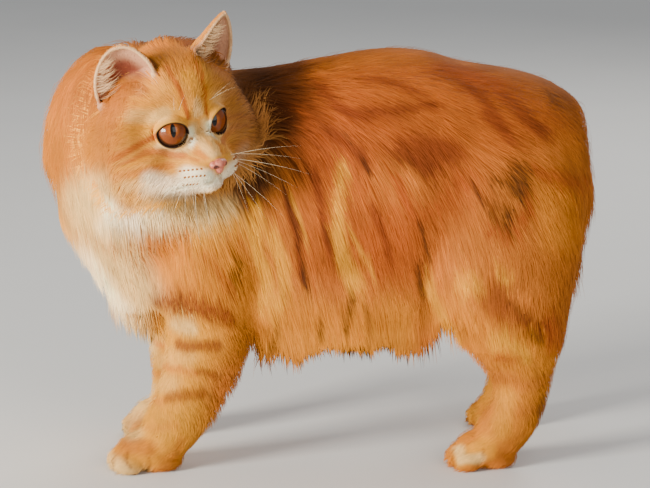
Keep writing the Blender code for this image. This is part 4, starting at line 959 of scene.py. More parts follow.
# Markings of the coat, and painted shade among them: the head's shadow on the neck and shoulder, a grey
# shadow under the chin, shade in the gaps between locks and in the furrows between the toes. Each row is
# a colour, how strong it is, its half width and the line or spot that it follows, in pixels of the
# photograph seen from its camera, for the side that the photograph shows. The other side of the body and of
# the face carries the mirror image.
RUST = (184, 88, 30)
DEEP_RUST = (130, 56, 22)
BROWN = (84, 42, 20)
DARK = (44, 25, 16)
ORANGE = (210, 121, 42)
GOLD = (226, 140, 34)
PALE_GOLD = (240, 165, 38)
CREAM = (248, 208, 136)
WHITE = (255, 240, 206)
PINK = (214, 160, 138)
SHADOW_GREY = (206, 190, 160)
AMBER = (192, 104, 36)
FAR_SHADE_GOLD = (188, 124, 66)
BODY_BASE = (206, 118, 42)
BODY_MARKS_AND_SHADE = [
    # broad fields
    (DEEP_RUST, 0.45, 26, ((304, 116), (312, 150))),
    (DEEP_RUST, 0.35, 20, ((348, 130), (356, 148))),
    (RUST, 0.6, 60, ((320, 100), (420, 90), (520, 110))),
    (ORANGE, 0.6, 16, ((320, 58), (360, 50), (440, 48), (520, 68), (570, 96))),
    # painted shadow of the head on the side of the neck and on the shoulder
    (DARK, 0.75, 28, ((252, 84), (262, 130), (252, 170))),
    (DARK, 0.60, 22, ((246, 176), (250, 204))),
    (DARK, 0.55, 28, ((284, 78), (292, 98), (294, 116))),
    (BROWN, 0.30, 26, ((300, 130), (320, 160))),
    (RUST, 0.6, 40, ((330, 190), (330, 250))),
    (RUST, 0.6, 52, ((350, 140), (440, 190), (390, 240))),
    (ORANGE, 0.7, 28, ((410, 178), (400, 190))),
    (ORANGE, 0.8, 42, ((560, 180), (566, 230), (558, 290))),
    (GOLD, 0.55, 24, ((556, 205), (560, 235))),
    (RUST, 0.6, 30, ((395, 225), (392, 262))),
    (GOLD, 0.75, 26, ((285, 320), (340, 330), (395, 318))),
    (PALE_GOLD, 0.35, 18, ((270, 348), (340, 358), (400, 346))),
    (ORANGE, 0.7, 34, ((480, 250), (470, 280))),
    (GOLD, 0.7, 26, ((450, 320), (500, 350), (540, 350))),
    (GOLD, 0.7, 40, ((530, 380), (540, 430))),
    (GOLD, 0.75, 40, ((235, 290), (220, 330))),
    (GOLD, 0.8, 60, ((60, 170), (80, 230))),
    (ORANGE, 0.5, 24, ((62, 110), (56, 160))),
    (ORANGE, 0.55, 24, ((80, 60), (130, 40), (180, 36))),
    (CREAM, 0.85, 34, ((92, 205), (105, 245), (120, 275), (135, 300))),
    (CREAM, 0.75, 16, ((150, 206), (200, 214), (225, 208))),
    (WHITE, 0.7, 13, ((112, 214), (134, 220), (156, 220))),
    (CREAM, 0.7, 13, ((150, 222), (186, 226), (216, 222))),
    (WHITE, 0.5, 13, ((80, 262), (104, 292), (126, 320))),
    # painted grey shadow under the chin
    (SHADOW_GREY, 0.5, 8, ((100, 228), (120, 229), (142, 224))),
    (GOLD, 0.85, 30, ((190, 262), (215, 272))),
    (PALE_GOLD, 0.7, 12, ((200, 240), (240, 226), (256, 232))),
    (GOLD, 0.5, 18, ((170, 270), (196, 274), (214, 282))),
    (PALE_GOLD, 0.85, 40, ((180, 340), (170, 380), (160, 420))),
    (CREAM, 0.7, 14, ((138, 330), (146, 370))),
    (PALE_GOLD, 0.5, 34, ((120, 445), (185, 430))),
    (GOLD, 0.6, 30, ((480, 440), (400, 440))),
    # rings and patches of the flank
    (DEEP_RUST, 0.8, 15, ((405, 152), (430, 148), (450, 154))),
    (DEEP_RUST, 0.86, 8, ((418, 164), (436, 168), (430, 176))),
    (RUST, 0.95, 6, ((398, 182), (406, 200), (416, 218), (434, 212), (448, 200), (460, 184), (472, 178))),
    (DEEP_RUST, 0.8, 6, ((320, 86), (340, 104), (356, 116), (388, 112), (412, 108), (436, 104))),
    (DEEP_RUST, 0.69, 6, ((326, 128), (340, 140), (354, 148), (368, 166))),
    (BROWN, 0.72, 3.3, ((362, 160), (368, 170), (372, 178))),
    (BROWN, 0.6, 3, ((346, 134), (352, 142))),
    (DEEP_RUST, 0.8, 7, ((462, 78), (482, 94), (490, 112), (502, 128), (516, 142))),
    (DEEP_RUST, 0.75, 7, ((504, 94), (516, 108), (532, 124), (550, 138))),
    (RUST, 0.8, 6, ((536, 172), (552, 178), (572, 182), (588, 184))),
    (DARK, 0.55, 4, ((546, 90), (554, 98), (560, 108))),
    (RUST, 0.69, 5, ((300, 108), (312, 128), (330, 150))),
    (RUST, 0.8, 8, ((442, 70), (470, 74), (500, 86))),
    (DEEP_RUST, 0.57, 5, ((366, 80), (396, 84), (420, 92))),
    # dark strokes over the hip
    (DARK, 0.72, 3, ((487, 174), (490, 184))),
    (DARK, 0.68, 2.7, ((470, 180), (480, 198))),
    (DARK, 0.72, 3, ((508, 168), (504, 188))),
    (DARK, 0.72, 3, ((516, 160), (513, 176), (511, 196))),
    (DARK, 0.75, 3.9, ((524, 168), (520, 184), (516, 198))),
    (DARK, 0.72, 3.3, ((531, 170), (525, 190), (518, 200))),
    (DARK, 0.63, 3.3, ((488, 212), (500, 216), (508, 218))),
    (DARK, 0.72, 3.9, ((508, 212), (507, 224), (506, 232))),
    (DARK, 0.54, 3, ((494, 222), (503, 228))),
    (BROWN, 0.6, 4.5, ((482, 200), (500, 206), (512, 212))),
    (RUST, 0.92, 6, ((488, 234), (508, 238), (520, 230), (526, 214), (530, 196))),
    # golden locks, and dark strokes in the gaps between them that are painted shade between the locks
    (PALE_GOLD, 0.9, 5.5, ((343, 164), (344, 180), (341, 204), (338, 232))),
    (PALE_GOLD, 0.9, 9, ((338, 240), (342, 262), (352, 280), (356, 290))),
    (PALE_GOLD, 0.6, 3.5, ((350, 228), (362, 256), (372, 276))),
    (PALE_GOLD, 0.9, 7, ((258, 212), (256, 244), (268, 278), (262, 306))),
    (PALE_GOLD, 0.85, 7, ((272, 232), (282, 262), (284, 290), (274, 316))),
    (PALE_GOLD, 0.6, 3, ((292, 196), (298, 222), (304, 240))),
    (DEEP_RUST, 0.8, 5, ((312, 170), (322, 200), (326, 236), (332, 262))),
    (DEEP_RUST, 0.8, 4, ((284, 186), (290, 216), (298, 250), (306, 290))),
    (BROWN, 0.56, 3.8, ((286, 190), (292, 214), (298, 248))),
    (BROWN, 0.48, 3, ((324, 228), (330, 246))),
    (DEEP_RUST, 0.69, 5, ((372, 208), (384, 232), (390, 262))),
    (DARK, 0.72, 4.5, ((240, 258), (236, 276), (232, 294))),
    (DARK, 0.69, 3.6, ((308, 266), (304, 280), (306, 292))),
    (DARK, 0.69, 3.9, ((356, 298), (350, 312), (346, 336))),
    (DARK, 0.65, 4.5, ((322, 322), (320, 336))),
    (DARK, 0.6, 4.5, ((278, 330), (272, 352))),
    (BROWN, 0.52, 3.3, ((366, 308), (372, 328), (370, 344))),
    (DARK, 0.69, 2.7, ((420, 222), (423, 238), (424, 252))),
    (DARK, 0.72, 4.2, ((427, 258), (420, 268), (416, 274))),
    (DARK, 0.69, 3.6, ((416, 274), (422, 288), (428, 300))),
    # thigh and lower leg
    (PALE_GOLD, 0.8, 5, ((430, 282), (434, 300), (444, 322), (458, 344))),
    (PALE_GOLD, 0.8, 9, ((462, 288), (474, 284), (482, 292))),
    (PALE_GOLD, 0.7, 6, ((498, 272), (508, 280))),
    (DEEP_RUST, 0.65, 17, ((490, 296), (498, 312))),
    (BROWN, 0.6, 4.5, ((506, 304), (518, 310), (534, 322))),
    (DEEP_RUST, 0.8, 6, ((518, 320), (536, 326), (556, 322))),
    (BROWN, 0.72, 4.5, ((528, 336), (540, 342), (554, 338))),
    (PALE_GOLD, 0.85, 9, ((496, 342), (512, 346), (524, 356))),
    (RUST, 0.57, 5, ((500, 356), (520, 360))),
    (RUST, 0.69, 9, ((552, 320), (556, 350))),
    (ORANGE, 0.6, 7, ((500, 378), (530, 384), (556, 378))),
    (ORANGE, 0.55, 6, ((490, 408), (524, 414), (550, 408))),
    (PALE_GOLD, 0.6, 12, ((505, 396), (500, 430))),
    (BROWN, 0.4, 6, ((545, 400), (540, 430))),
    (PALE_GOLD, 0.8, 12, ((462, 456), (484, 448))),
    (CREAM, 0.75, 6, ((457, 450), (462, 458), (478, 458))),
    # dark line between the toes: painted shade in the furrow
    (DEEP_RUST, 0.5, 1.2, ((482, 450), (481, 460))),
    # chest and forelegs
    (ORANGE, 0.75, 2.6, ((80, 241), (98, 246), (114, 252), (140, 250), (158, 243), (190, 238))),
    (ORANGE, 0.5, 2.4, ((130, 272), (140, 266), (150, 258))),
    (RUST, 0.52, 5, ((206, 262), (222, 276), (232, 292))),
    (DEEP_RUST, 0.90, 10, ((160, 303), (182, 304), (206, 308), (226, 318))),
    (CREAM, 0.55, 8, ((176, 324), (192, 326))),
    (CREAM, 0.2, 9, ((166, 356), (190, 356))),
    (CREAM, 0.25, 10, ((160, 384), (172, 384))),
    (DEEP_RUST, 0.80, 6.5, ((180, 343), (196, 344), (214, 346))),
    (ORANGE, 0.7, 4, ((156, 366), (176, 368), (196, 374))),
    (DEEP_RUST, 0.7, 4, ((200, 372), (214, 376))),
    (DEEP_RUST, 0.7, 6, ((168, 399), (184, 397), (202, 392))),
    (ORANGE, 0.5, 5, ((140, 398), (160, 402))),
    (ORANGE, 0.3, 4, ((126, 420), (150, 428), (178, 424))),
    (CREAM, 0.65, 9, ((106, 458), (120, 468), (140, 472))),
    (CREAM, 0.55, 12, ((122, 416), (132, 432))),
    (CREAM, 0.5, 6, ((106, 464), (116, 470), (126, 472))),
    (PALE_GOLD, 0.6, 7, ((134, 462), (150, 462))),
    (AMBER, 0.55, 9, ((128, 446), (148, 448))),
    # dark lines between the toes: painted shade in the furrows
    (DEEP_RUST, 0.5, 1.2, ((146, 458), (146, 468))),
    (DEEP_RUST, 0.6, 1.2, ((127, 454), (127, 463), (130, 468))),
    (ORANGE, 0.4, 6, ((180, 440), (172, 458))),
]
FACE_SLIDE = (0.0, -2.0)
FACE_BASE = (236, 166, 62)
FACE_PAINT = [
    (ORANGE, 0.70, 26, ((110, 90), (150, 60), (190, 56))),
    (AMBER, 0.40, 10, ((160, 44), (184, 40))),
    (PALE_GOLD, 0.70, 20, ((110, 130), (140, 120))),
    (ORANGE, 0.50, 16, ((100, 150), (110, 140))),
    (GOLD, 0.70, 16, ((205, 130), (212, 148))),
    (CREAM, 0.50, 8, ((130, 118), (150, 118), (164, 116))),
    (PALE_GOLD, 0.70, 12, ((120, 92), (132, 84), (142, 92))),
    (PINK, 0.35, 9, ((134, 78), (138, 90))),
    (PALE_GOLD, 0.80, 5, ((176, 92), (181, 106), (184, 118))),
    (PALE_GOLD, 0.75, 4, ((184, 76), (194, 92), (200, 104))),
    (PALE_GOLD, 0.60, 4, ((188, 60), (200, 74))),
    (CREAM, 0.75, 4, ((196, 116), (197, 106), (200, 98))),
    (WHITE, 0.95, 4.2, ((191, 132), (193, 140), (190, 146))),
    (CREAM, 0.70, 6, ((160, 150), (176, 154), (186, 150))),
    (AMBER, 0.90, 2.8, ((167, 68), (174, 82), (180, 94), (184, 106), (188, 120))),
    (RUST, 0.75, 1.6, ((177, 84), (182, 96), (186, 112), (188, 121))),
    (AMBER, 0.55, 2.6, ((186, 56), (196, 70), (206, 84), (212, 98))),
    (AMBER, 0.45, 2.2, ((204, 98), (209, 108), (213, 120))),
    (BROWN, 0.80, 3.2, ((146, 62), (152, 65), (156, 69))),
    (AMBER, 1.0, 3.4, ((157, 137), (146, 143), (132, 151), (118, 160), (100, 166), (90, 176))),
    (AMBER, 0.60, 5.5, ((120, 158), (100, 162), (84, 172))),
    (AMBER, 0.85, 4.2, ((184, 157), (170, 156), (156, 153), (146, 155), (134, 163), (118, 172), (98, 178))),
    (PALE_GOLD, 0.90, 2.6, ((148, 160), (140, 163), (128, 169), (112, 174))),
    (ORANGE, 0.65, 4.0, ((170, 167), (150, 172), (126, 178), (96, 186))),
    (BROWN, 0.35, 6, ((98, 166), (90, 172))),
    (WHITE, 0.90, 11, ((150, 184), (170, 188), (186, 190))),
    (WHITE, 0.90, 9, ((186, 176), (200, 180), (208, 180))),
    (CREAM, 0.6, 7, ((126, 190), (142, 190))),
    (GOLD, 0.7, 8, ((98, 176), (112, 180))),
    # painted grey shadow under the chin
    (SHADOW_GREY, 0.65, 4, ((142, 196), (160, 199), (180, 200))),
    (AMBER, 0.55, 4.0, ((196, 154), (202, 155), (204, 159))),
    (RUST, 0.45, 2.0, ((190, 160), (198, 163))),
    (ORANGE, 0.45, 4, ((214, 138), (219, 148))),
    (WHITE, 0.85, 7, ((200, 190), (212, 187), (222, 182))),
    (PINK, 0.55, 2.4, ((216, 156), (222, 158))),
    (BROWN, 0.45, 4.0, ((238, 126), (246, 134))),
    (CREAM, 0.6, 5.5, ((194, 128), (200, 140), (206, 150), (212, 156))),
]
# Rows of brown dots at the roots of the whiskers: first and last place and how many
DOT_ROWS = [((181, 173), (202, 171), 6), ((186, 179), (205, 177), 6), ((184, 186), (198, 185), 5)]
DOT_TINT = (150, 88, 40)
DOT_WIDTH = 0.0015
DOT_LENGTH = 0.0016


def linear(tint):
    """A colour of 0 to 255 a channel as the shader's linear values."""
    share = np.array(tint, float) / 255
    return np.where(share <= 0.04045, share / 12.92, ((share + 0.055) / 1.055) ** 2.4)


def picture_place(points):
    """Where points in the body's own place fall in the photograph, in pixels."""
    seen = points + np.array(centring.translation) - np.array(CAMERA_PLACE)
    scale = PICTURE_SCALE / -(seen @ np.array(CAMERA_BACK))
    return np.stack([PICTURE[0] / 2 + seen @ np.array(CAMERA_RIGHT) * scale,
                     PICTURE[1] / 2 - seen @ np.array(CAMERA_UP) * scale], axis=1)


def painted(colour, place, rows, softness=1.0):
    """The colour with rows of marks laid over it in order."""
    for tint, strength, width, line in rows:
        low = np.min(line, axis=0) - width * 1.6
        high = np.max(line, axis=0) + width * 1.6
        inside = np.nonzero(np.all((place > low) & (place < high), axis=1))[0]
        if len(inside):
            apart = from_line(place[inside], line)
            share = strength * (1 - step(apart, width * (1 - 0.6 * softness), width * (1 + 0.4 * softness)))
            colour[inside] += (linear(tint) - colour[inside]) * share[:, None]
    return colour


RIPPLES = np.random.default_rng(3).normal(0, 1, (24, 3))
RIPPLE_STARTS = np.random.default_rng(4).uniform(0, 6.28, 24)


def ripple(points, size):
    """Smooth seeded noise between about -1 and 1 that changes over a distance of about the size."""
    waves = np.sin(points @ RIPPLES.T * (1.6 / size) + RIPPLE_STARTS)
    return waves.sum(axis=1) / math.sqrt(len(RIPPLES) / 2) / 1.6


def lay(tint, colour, share):
    """Lays a tint over an array of colours, each by its own share."""
    colour += (linear(tint) - colour) * share[:, None]


def coat_colour(points, on_head):
    """The coat's colour at each point, in linear values, with its painted shade and shadows."""
    body = points * (1, 0, 1) - np.abs(points) * (0, 1, 0)
    body_place = picture_place(body)
    wobble = np.stack([ripple(points, 0.012), ripple(points + 1.0, 0.012)], axis=1)
    colour = np.tile(linear(BODY_BASE), (len(points), 1))
    colour = painted(colour, body_place + wobble * 2.0, BODY_MARKS_AND_SHADE)
    # the side of the neck that the photograph doesn't show is orange throughout
    x, y, z = points.T
    hidden = step(y, 0.025, 0.055) * step(z, 0.170, 0.200) * step(-x, 0.010, 0.040) * 0.75
    lay(ORANGE, colour, hidden)
    # the toes of the far forepaw are cream
    pale_paw = step(y, 0.020, 0.040) * step(-z, -0.050, -0.030) * step(-x, 0.020, 0.050) * 0.55
    lay(CREAM, colour, pale_paw)
    folded = in_head(points)
    folded[:, 1] = -np.abs(folded[:, 1])
    face_place = picture_place(out_of_head(folded)) - FACE_SLIDE
    face = np.tile(linear(FACE_BASE), (len(points), 1))
    face = painted(face, face_place + wobble * 0.6, FACE_PAINT)
    # the far side of the face is painted duller, and brown further back: painted shade
    ahead, aside = in_head(points)[:, :2].T
    far_side_shade = 0.5 * step(aside, 0.012, 0.026) + 0.3 * step(aside, 0.026, 0.036)
    lay(FAR_SHADE_GOLD, face, far_side_shade)
    shaded = 0.85 * step(aside, 0.015, 0.030) * step(-ahead, -0.002, 0.010)
    lay(BROWN, face, shaded)
    back = step(-folded[:, 0], 0.004, 0.030) * step(folded[:, 2], 0.0, 0.030)
    on_face = (on_head * (1 - 0.7 * back))[:, None]
    colour = colour * (1 - on_face) + face * on_face
    pale = step(colour[:, 2], 0.10, 0.45)
    deep = 0.68 + 0.24 * on_head
    uneven = 1 + 0.10 * ripple(points, 0.020) + 0.05 * ripple(points + 3.0, 0.006)
    colour *= ((deep + (1 - deep) * pale) * uneven)[:, None]
    return np.clip(colour, 0.004, 0.95)


def set_colours(data, colours):
    """Gives each vertex of a mesh its colour, painted shade included, in the attribute that the materials
    read.
    """
    layer = data.color_attributes.new("markings", "FLOAT_COLOR", "POINT")
    values = np.ones((len(data.vertices), 4), np.float32)
    values[:, :3] = colours
    layer.data.foreach_set("color", values.ravel())


# The hair: random places on the skin, each with its own tuft
FACE_LIFT = 0.0006
ROOT_SINK = 0.0012
CHART_PATCH = 0.003
TUFT_RINGS = {"long": (0.40, 0.75), "short": (0.50,)}
rng = np.random.default_rng(COAT_SEED)


def skin_samples(count, wanted):
    """Random places on the skin, chosen by area times a wanted density, with the skin's outward direction."""
    data = skin.data
    data.calc_loop_triangles()
    corners = np.empty(len(data.loop_triangles) * 3, np.int32)
    data.loop_triangles.foreach_get("vertices", corners)
    corners = corners.reshape(-1, 3)
    places, ways = points_of(skin)
    a, b, c = (places[corners[:, i]] for i in range(3))
    area = np.linalg.norm(np.cross(b - a, c - a), axis=1) / 2
    weight = area * wanted[corners].mean(axis=1)
    chosen = rng.choice(len(area), count, p=weight / weight.sum())
    share = rng.uniform(0, 1, (count, 2))
    over = share.sum(axis=1) > 1
    share[over] = 1 - share[over]
    s, t = share[:, :1], share[:, 1:]
    found = a[chosen] * (1 - s - t) + b[chosen] * s + c[chosen] * t
    corner_ways = ways[corners[chosen]]
    normal = unit(corner_ways[:, 0] * (1 - s - t) + corner_ways[:, 1] * s + corner_ways[:, 2] * t)
    return found, normal


def along(ways, normals):
    """Directions with their part into the surface taken out."""
    inward = np.minimum((ways * normals).sum(axis=1), 0.0)
    flat = ways - normals * (ways * normals).sum(axis=1)[:, None]
    hanging = step(-normals[:, 2], 0.05, 0.55)[:, None]
    free = ways - normals * inward[:, None]
    return unit(flat * (1 - hanging) + free * hanging)


def hair_paths(roots, normals, turns, stretch, rises, rings, on_head, on_ear):
    """The points of each tuft from root to tip, and the outward directions there."""
    ways, depth, length = in_batches(coat_at, roots, on_head, on_ear)
    length = length * stretch
    run = along(ways + turns, normals)
    path = [roots - normals * ROOT_SINK]
    overs = [normals]
    here = roots
    lift = FACE_LIFT * on_head
    shares = list(rings) + [1.0]
    last = 0.0
    for share in shares:
        reach = (length * (share - last))[:, None]
        last = share
        straight = here + run * reach
        near, over, apart = coat_surface.nearest(straight)
        rise = np.minimum(share * 1.5, 1.0) * rises
        lying = near + over * ((rise - 1) * depth + lift * share)[:, None]
        under = step(-over[:, 2], 0.10, 0.60) * step(-run[:, 2], 0.30, 0.80)
        away = step(apart, 0.010, 0.020) * (1 - on_head)
        free = np.maximum(under, away)[:, None]
        here = lying * (1 - free) + straight * free
        path.append(here)
        overs.append(unit(over * (1 - free) + normals * free))
        ways_here = in_batches(coat_at, near, on_head, on_ear)[0]
        falling = run * 0.75 + np.array((0, 0, -0.25))
        run = unit(along(ways_here + turns, over) * (1 - free) + falling * free)
    return np.stack(path, axis=1), np.stack(overs, axis=1), length


def chart_place(roots, on_head):
    """Where roots fall on an unwrap of the skin: along and round the trunk or a leg, or round the head."""
    x, y, z = roots.T
    leg = (z < 0.100) & ~(on_head > 0.5)
    fore = x < 0.0
    side = np.where(y < 0, -1, 1)
    middle_x = np.where(fore, -0.100 - 0.35 * np.maximum(0.060 - z, 0), 0.135)
    middle_y = side * np.where(fore, FORE_TRACK, HIND_TRACK)
    leg_turn = np.arctan2(y - middle_y, x - middle_x) * 0.022
    leg_place = np.stack([leg_turn + 0.60 + 0.16 * (side > 0) + 0.32 * fore, z], axis=1)
    trunk_place = np.stack([x, np.arctan2(y, z - 0.190) * 0.075], axis=1)
    seen = in_head(roots) - HEAD_CORE
    face_turn = np.arctan2(seen[:, 1], seen[:, 0]) * 0.050
    face_rise = np.arcsin(np.clip(seen[:, 2] / np.linalg.norm(seen, axis=1), -1, 1)) * 0.055
    face_place = np.stack([face_turn + 0.40, face_rise], axis=1)
    return np.where((on_head > 0.5)[:, None], face_place, np.where(leg[:, None], leg_place, trunk_place))


def tuft_mesh(name, paths, overs, widths, profile, colours, charts, softness):
    """One mesh of closed three-sided tufts. The profile is their share of the width at each ring."""
    count, points_along = paths.shape[:2]
    rings = points_along - 1
    run = unit(np.gradient(paths, axis=1))
    across = unit(np.cross(run, overs))
    up = np.cross(across, run)
    wide = (widths[:, None] * np.array(profile) / 2)[:, :, None]
    middle = paths[:, :rings]
    left = middle + across[:, :rings] * wide - up[:, :rings] * wide * 0.15
    right = middle - across[:, :rings] * wide - up[:, :rings] * wide * 0.15
    ridge = middle + up[:, :rings] * wide * 0.30
    around = np.stack([left, right, ridge], axis=2).reshape(count, rings * 3, 3)
    points = np.concatenate([around, paths[:, -1:]], axis=1)
    points[:, :, 2] = np.maximum(points[:, :, 2], FLOOR_GAP)
    each = rings * 3 + 1
    faces = [(0, 2, 1)]
    for r in range(rings - 1):
        for i in range(3):
            j = (i + 1) % 3
            a, b, c, d = r * 3 + i, r * 3 + j, r * 3 + 3 + j, r * 3 + 3 + i
            faces += [(a, b, d), (b, c, d)]
    for i in range(3):
        faces.append(((rings - 1) * 3 + i, (rings - 1) * 3 + (i + 1) % 3, each - 1))
    faces = np.array(faces)
    corners = (faces[None] + (np.arange(count) * each)[:, None, None]).reshape(-1)
    data = bpy.data.meshes.new(name)
    data.vertices.add(count * each)
    data.vertices.foreach_set("co", points.reshape(-1).astype(np.float32))
    data.loops.add(len(corners))
    data.loops.foreach_set("vertex_index", corners.astype(np.int32))
    data.polygons.add(len(corners) // 3)
    data.polygons.foreach_set("loop_start", np.arange(0, len(corners), 3, dtype=np.int32))
    data.update(calc_edges=True)
    data.shade_smooth()
    # The tufts are shaded mostly as the coat that they lie in, so that they blend into one soft surface.
    # Those that hang free are shaded by their own form.
    hanging = step(-overs[:, :, 2:], 0.10, 0.50)
    aside = np.where(paths[:, :, 1:2] < 0, -1.0, 1.0) * (0, 1, 0) + np.array((0, 0, -0.15))
    overs = unit(overs * (1 - hanging) + aside * hanging)
    merged = (1 - 0.45 * hanging) * softness
    own = np.stack([across * 0.9 - up * 0.4, -across * 0.9 - up * 0.4, up], axis=2)[:, :rings]
    soft = unit(overs[:, :rings, None] * merged[:, :rings, None] + own * (1.3 - merged[:, :rings, None]))
    tips = unit(overs[:, -1] * merged[:, -1] + up[:, -1] * (1.3 - merged[:, -1]))
    soft = np.concatenate([soft.reshape(count, rings * 3, 3), tips[:, None]], axis=1).reshape(-1, 3)
    data.normals_split_custom_set_from_vertices(soft)
    ring_colours = np.repeat(colours[:, :rings], 3, axis=1)
    set_colours(data, np.concatenate([ring_colours, colours[:, -1:]], axis=1).reshape(-1, 3))
    u = np.tile((-0.5, 0.5, 0.0), rings)
    v = np.repeat(np.arange(rings), 3) / rings - 0.5
    patch_places = np.stack([np.append(u, 0.0), np.append(v, 0.5)], axis=1) * CHART_PATCH
    low = charts.min(axis=0)
    span = (charts.max(axis=0) - low) + 1e-6
    roots = 0.01 + 0.98 * (charts - low) / span
    places = (roots[:, None] + patch_places[None]).reshape(-1, 2)
    layer = data.uv_layers.new(name="OFBake")
    layer.data.foreach_set("uv", places[corners].astype(np.float32).reshape(-1))
    return new_object(name, data)


LONG_TUFTS = 56000
LONG_WIDTH = 0.00125
LONG_PROFILE = (0.8, 1.0, 0.65)
# brightness at each ring from root to tip: painted shade, darker towards the root
LONG_ROOT_SHADE = (0.80, 0.92, 1.00, 1.05)
SHORT_TUFTS = 46000
SHORT_PROFILE = (0.9, 0.8)
# brightness at each ring from root to tip: painted shade, darker towards the root
SHORT_ROOT_SHADE = (0.84, 0.96, 1.04)
GUIDES = 3000
# The most tufts in one piece, so that a piece has fewer than 200,000 triangles
MOST_LONG = 12000
MOST_SHORT = 19000
# How many on the left ear and on the right one
EAR_TUFTS = (2200, 2200)
EAR_HAIRS = (420, 105)
EAR_TUFT_WIDTH = 0.00055
EAR_HAIR_WIDTH = 0.0004
EAR_HAIR_TINT = (230, 188, 140)
EAR_PALE = (200, 146, 112)
EAR_HOLLOW_SHADE = (128, 66, 46)
EAR_OUTER = (214, 142, 62)
EAR_RIM = (232, 190, 140)
# Where the hair ends in the photograph, in its pixels across and down: bib, rump and hem of the belly
BIB_EDGE = ((49, 57, 66, 75, 83, 97, 115, 127, 140), (180, 200, 220, 240, 260, 280, 300, 320, 334))
RUMP_EDGE = (
    (560, 580, 590, 596, 597, 594, 590, 586, 581, 579, 577),
    (86, 100, 116, 140, 180, 200, 220, 240, 260, 280, 300),
)
HEM = (
    (244, 258, 272, 300, 345, 400, 415, 430, 445, 462),
    (340, 362, 362, 352, 354, 358, 350, 338, 322, 318),
)


def split_pieces(labels, most):
    """Rows of each label, in groups of no more than a number, with a name for each group."""
    groups = []
    for label in sorted(set(labels)):
        rows = np.nonzero(labels == label)[0]
        parts = math.ceil(len(rows) / most)
        for i, part in enumerate(np.array_split(rows, parts)):
            groups.append((label if parts == 1 else f"{label}_{i + 1}", part))
    return groups


def nearest_of(known, wanted):
    """For each wanted place, the row of the nearest known place and the distance to it."""
    tree = KDTree(len(known))
    for i, place in enumerate(known.tolist()):
        tree.insert(place, i)
    tree.balance()
    found = [tree.find(place)[1:] for place in wanted.tolist()]
    return np.array([row for row, gap in found]), np.array([gap for row, gap in found])


def clumped(paths, guides, roots, guide_roots, pull):
    """Draws each tuft towards the nearest guide's line, more so to its tip."""
    nearest = nearest_of(guide_roots, roots)[0]
    share = np.linspace(0, 1, paths.shape[1])[None, :, None] ** 1.3
    toward = guides[nearest] - paths
    return paths + toward * share * pull[:, None, None], nearest


def ear_seen(points, normals, side):
    """For places on an ear: how far they face its opening, and how far they are from its rim."""
    rows = np.array(ear_points(side))
    rise, turned = EARS[side][1], math.radians(EARS[side][5])
    rise = unit(np.array(rise))
    ahead = np.array((math.cos(turned), side * math.sin(turned), 0.0))
    ahead = unit(ahead - rise * (ahead @ rise))
    edge = np.concatenate([rows[2:, 0], rows[2:, -1], rows[-1]])
    return (normals @ HEAD_TURNED) @ ahead, nearest_of(edge, in_head(points))[1]


def ear_colour(points, normals, colour, on_ear):
    """Lays ear colours on the coat's: pink inside, painted shade in the hollow, orange outside, a pale rim.
    """
    for side in (1, -1):
        mine = np.nonzero(on_ear * (in_head(points)[:, 1] * side > 0) > 0.01)[0]
        facing, gap = ear_seen(points[mine], normals[mine], side)
        inner = step(facing, -0.15, 0.25)[:, None]
        rim = (1 - step(gap, 0.0010, 0.0028))[:, None]
        # darker deep in the hollow of the ear: painted shade
        deep = step(gap, 0.006, 0.014)[:, None]
        pink = linear(EAR_PALE) * (1 - deep) + linear(EAR_HOLLOW_SHADE) * deep
        tint = linear(EAR_OUTER) * (1 - inner) + pink * inner
        tint += (linear(EAR_RIM) - tint) * rim * 0.8
        share = on_ear[mine][:, None]
        colour[mine] += (tint - colour[mine]) * share
    return colour


on_head, on_ear = parts_near(skin_points)
skin_normals = points_of(skin)[1]
share_long = long_coat(skin_points) * (1 - on_head) * (1 - on_ear)
guide_roots, guide_normals = skin_samples(GUIDES, share_long)
guide_head, guide_ear = parts_near(guide_roots)
guides = hair_paths(
    guide_roots, guide_normals, rng.normal(0, 0.12, (GUIDES, 3)), rng.uniform(0.95, 1.15, GUIDES),
    rng.uniform(0.95, 1.1, GUIDES), TUFT_RINGS["long"], guide_head, guide_ear
)[0]
guide_tone = np.exp(rng.normal(0, 0.08, GUIDES))


def shortened(paths, share):
    """Tufts drawn in towards their roots, each to a share of its length."""
    return paths[:, :1] + (paths - paths[:, :1]) * share[:, None, None]


def within_sides(paths):
    """Draws in the hair of the bib and rump, so that it ends at the photograph's outline."""
    tips = picture_place(paths[:, -1])
    roots = picture_place(paths[:, 0])
    ragged = rng.normal(0, 2.2, len(paths))
    left = np.interp(tips[:, 1], BIB_EDGE[1], BIB_EDGE[0]) - ragged
    right = np.interp(tips[:, 1], RUMP_EDGE[1], RUMP_EDGE[0]) + ragged
    run = tips[:, 0] - roots[:, 0]
    run = np.where(np.abs(run) < 1, 1, run)
    shorter = np.ones(len(paths))
    beyond = (tips[:, 0] < left) & (tips[:, 1] > BIB_EDGE[1][0]) & (run < 0)
    shorter = np.where(beyond, (left - roots[:, 0]) / run, shorter)
    beyond = (tips[:, 0] > right) & (tips[:, 1] < RUMP_EDGE[1][-1]) & (run > 0)
    shorter = np.where(beyond, (right - roots[:, 0]) / run, shorter)
    return shortened(paths, np.clip(shorter, 0.35, 1.0))


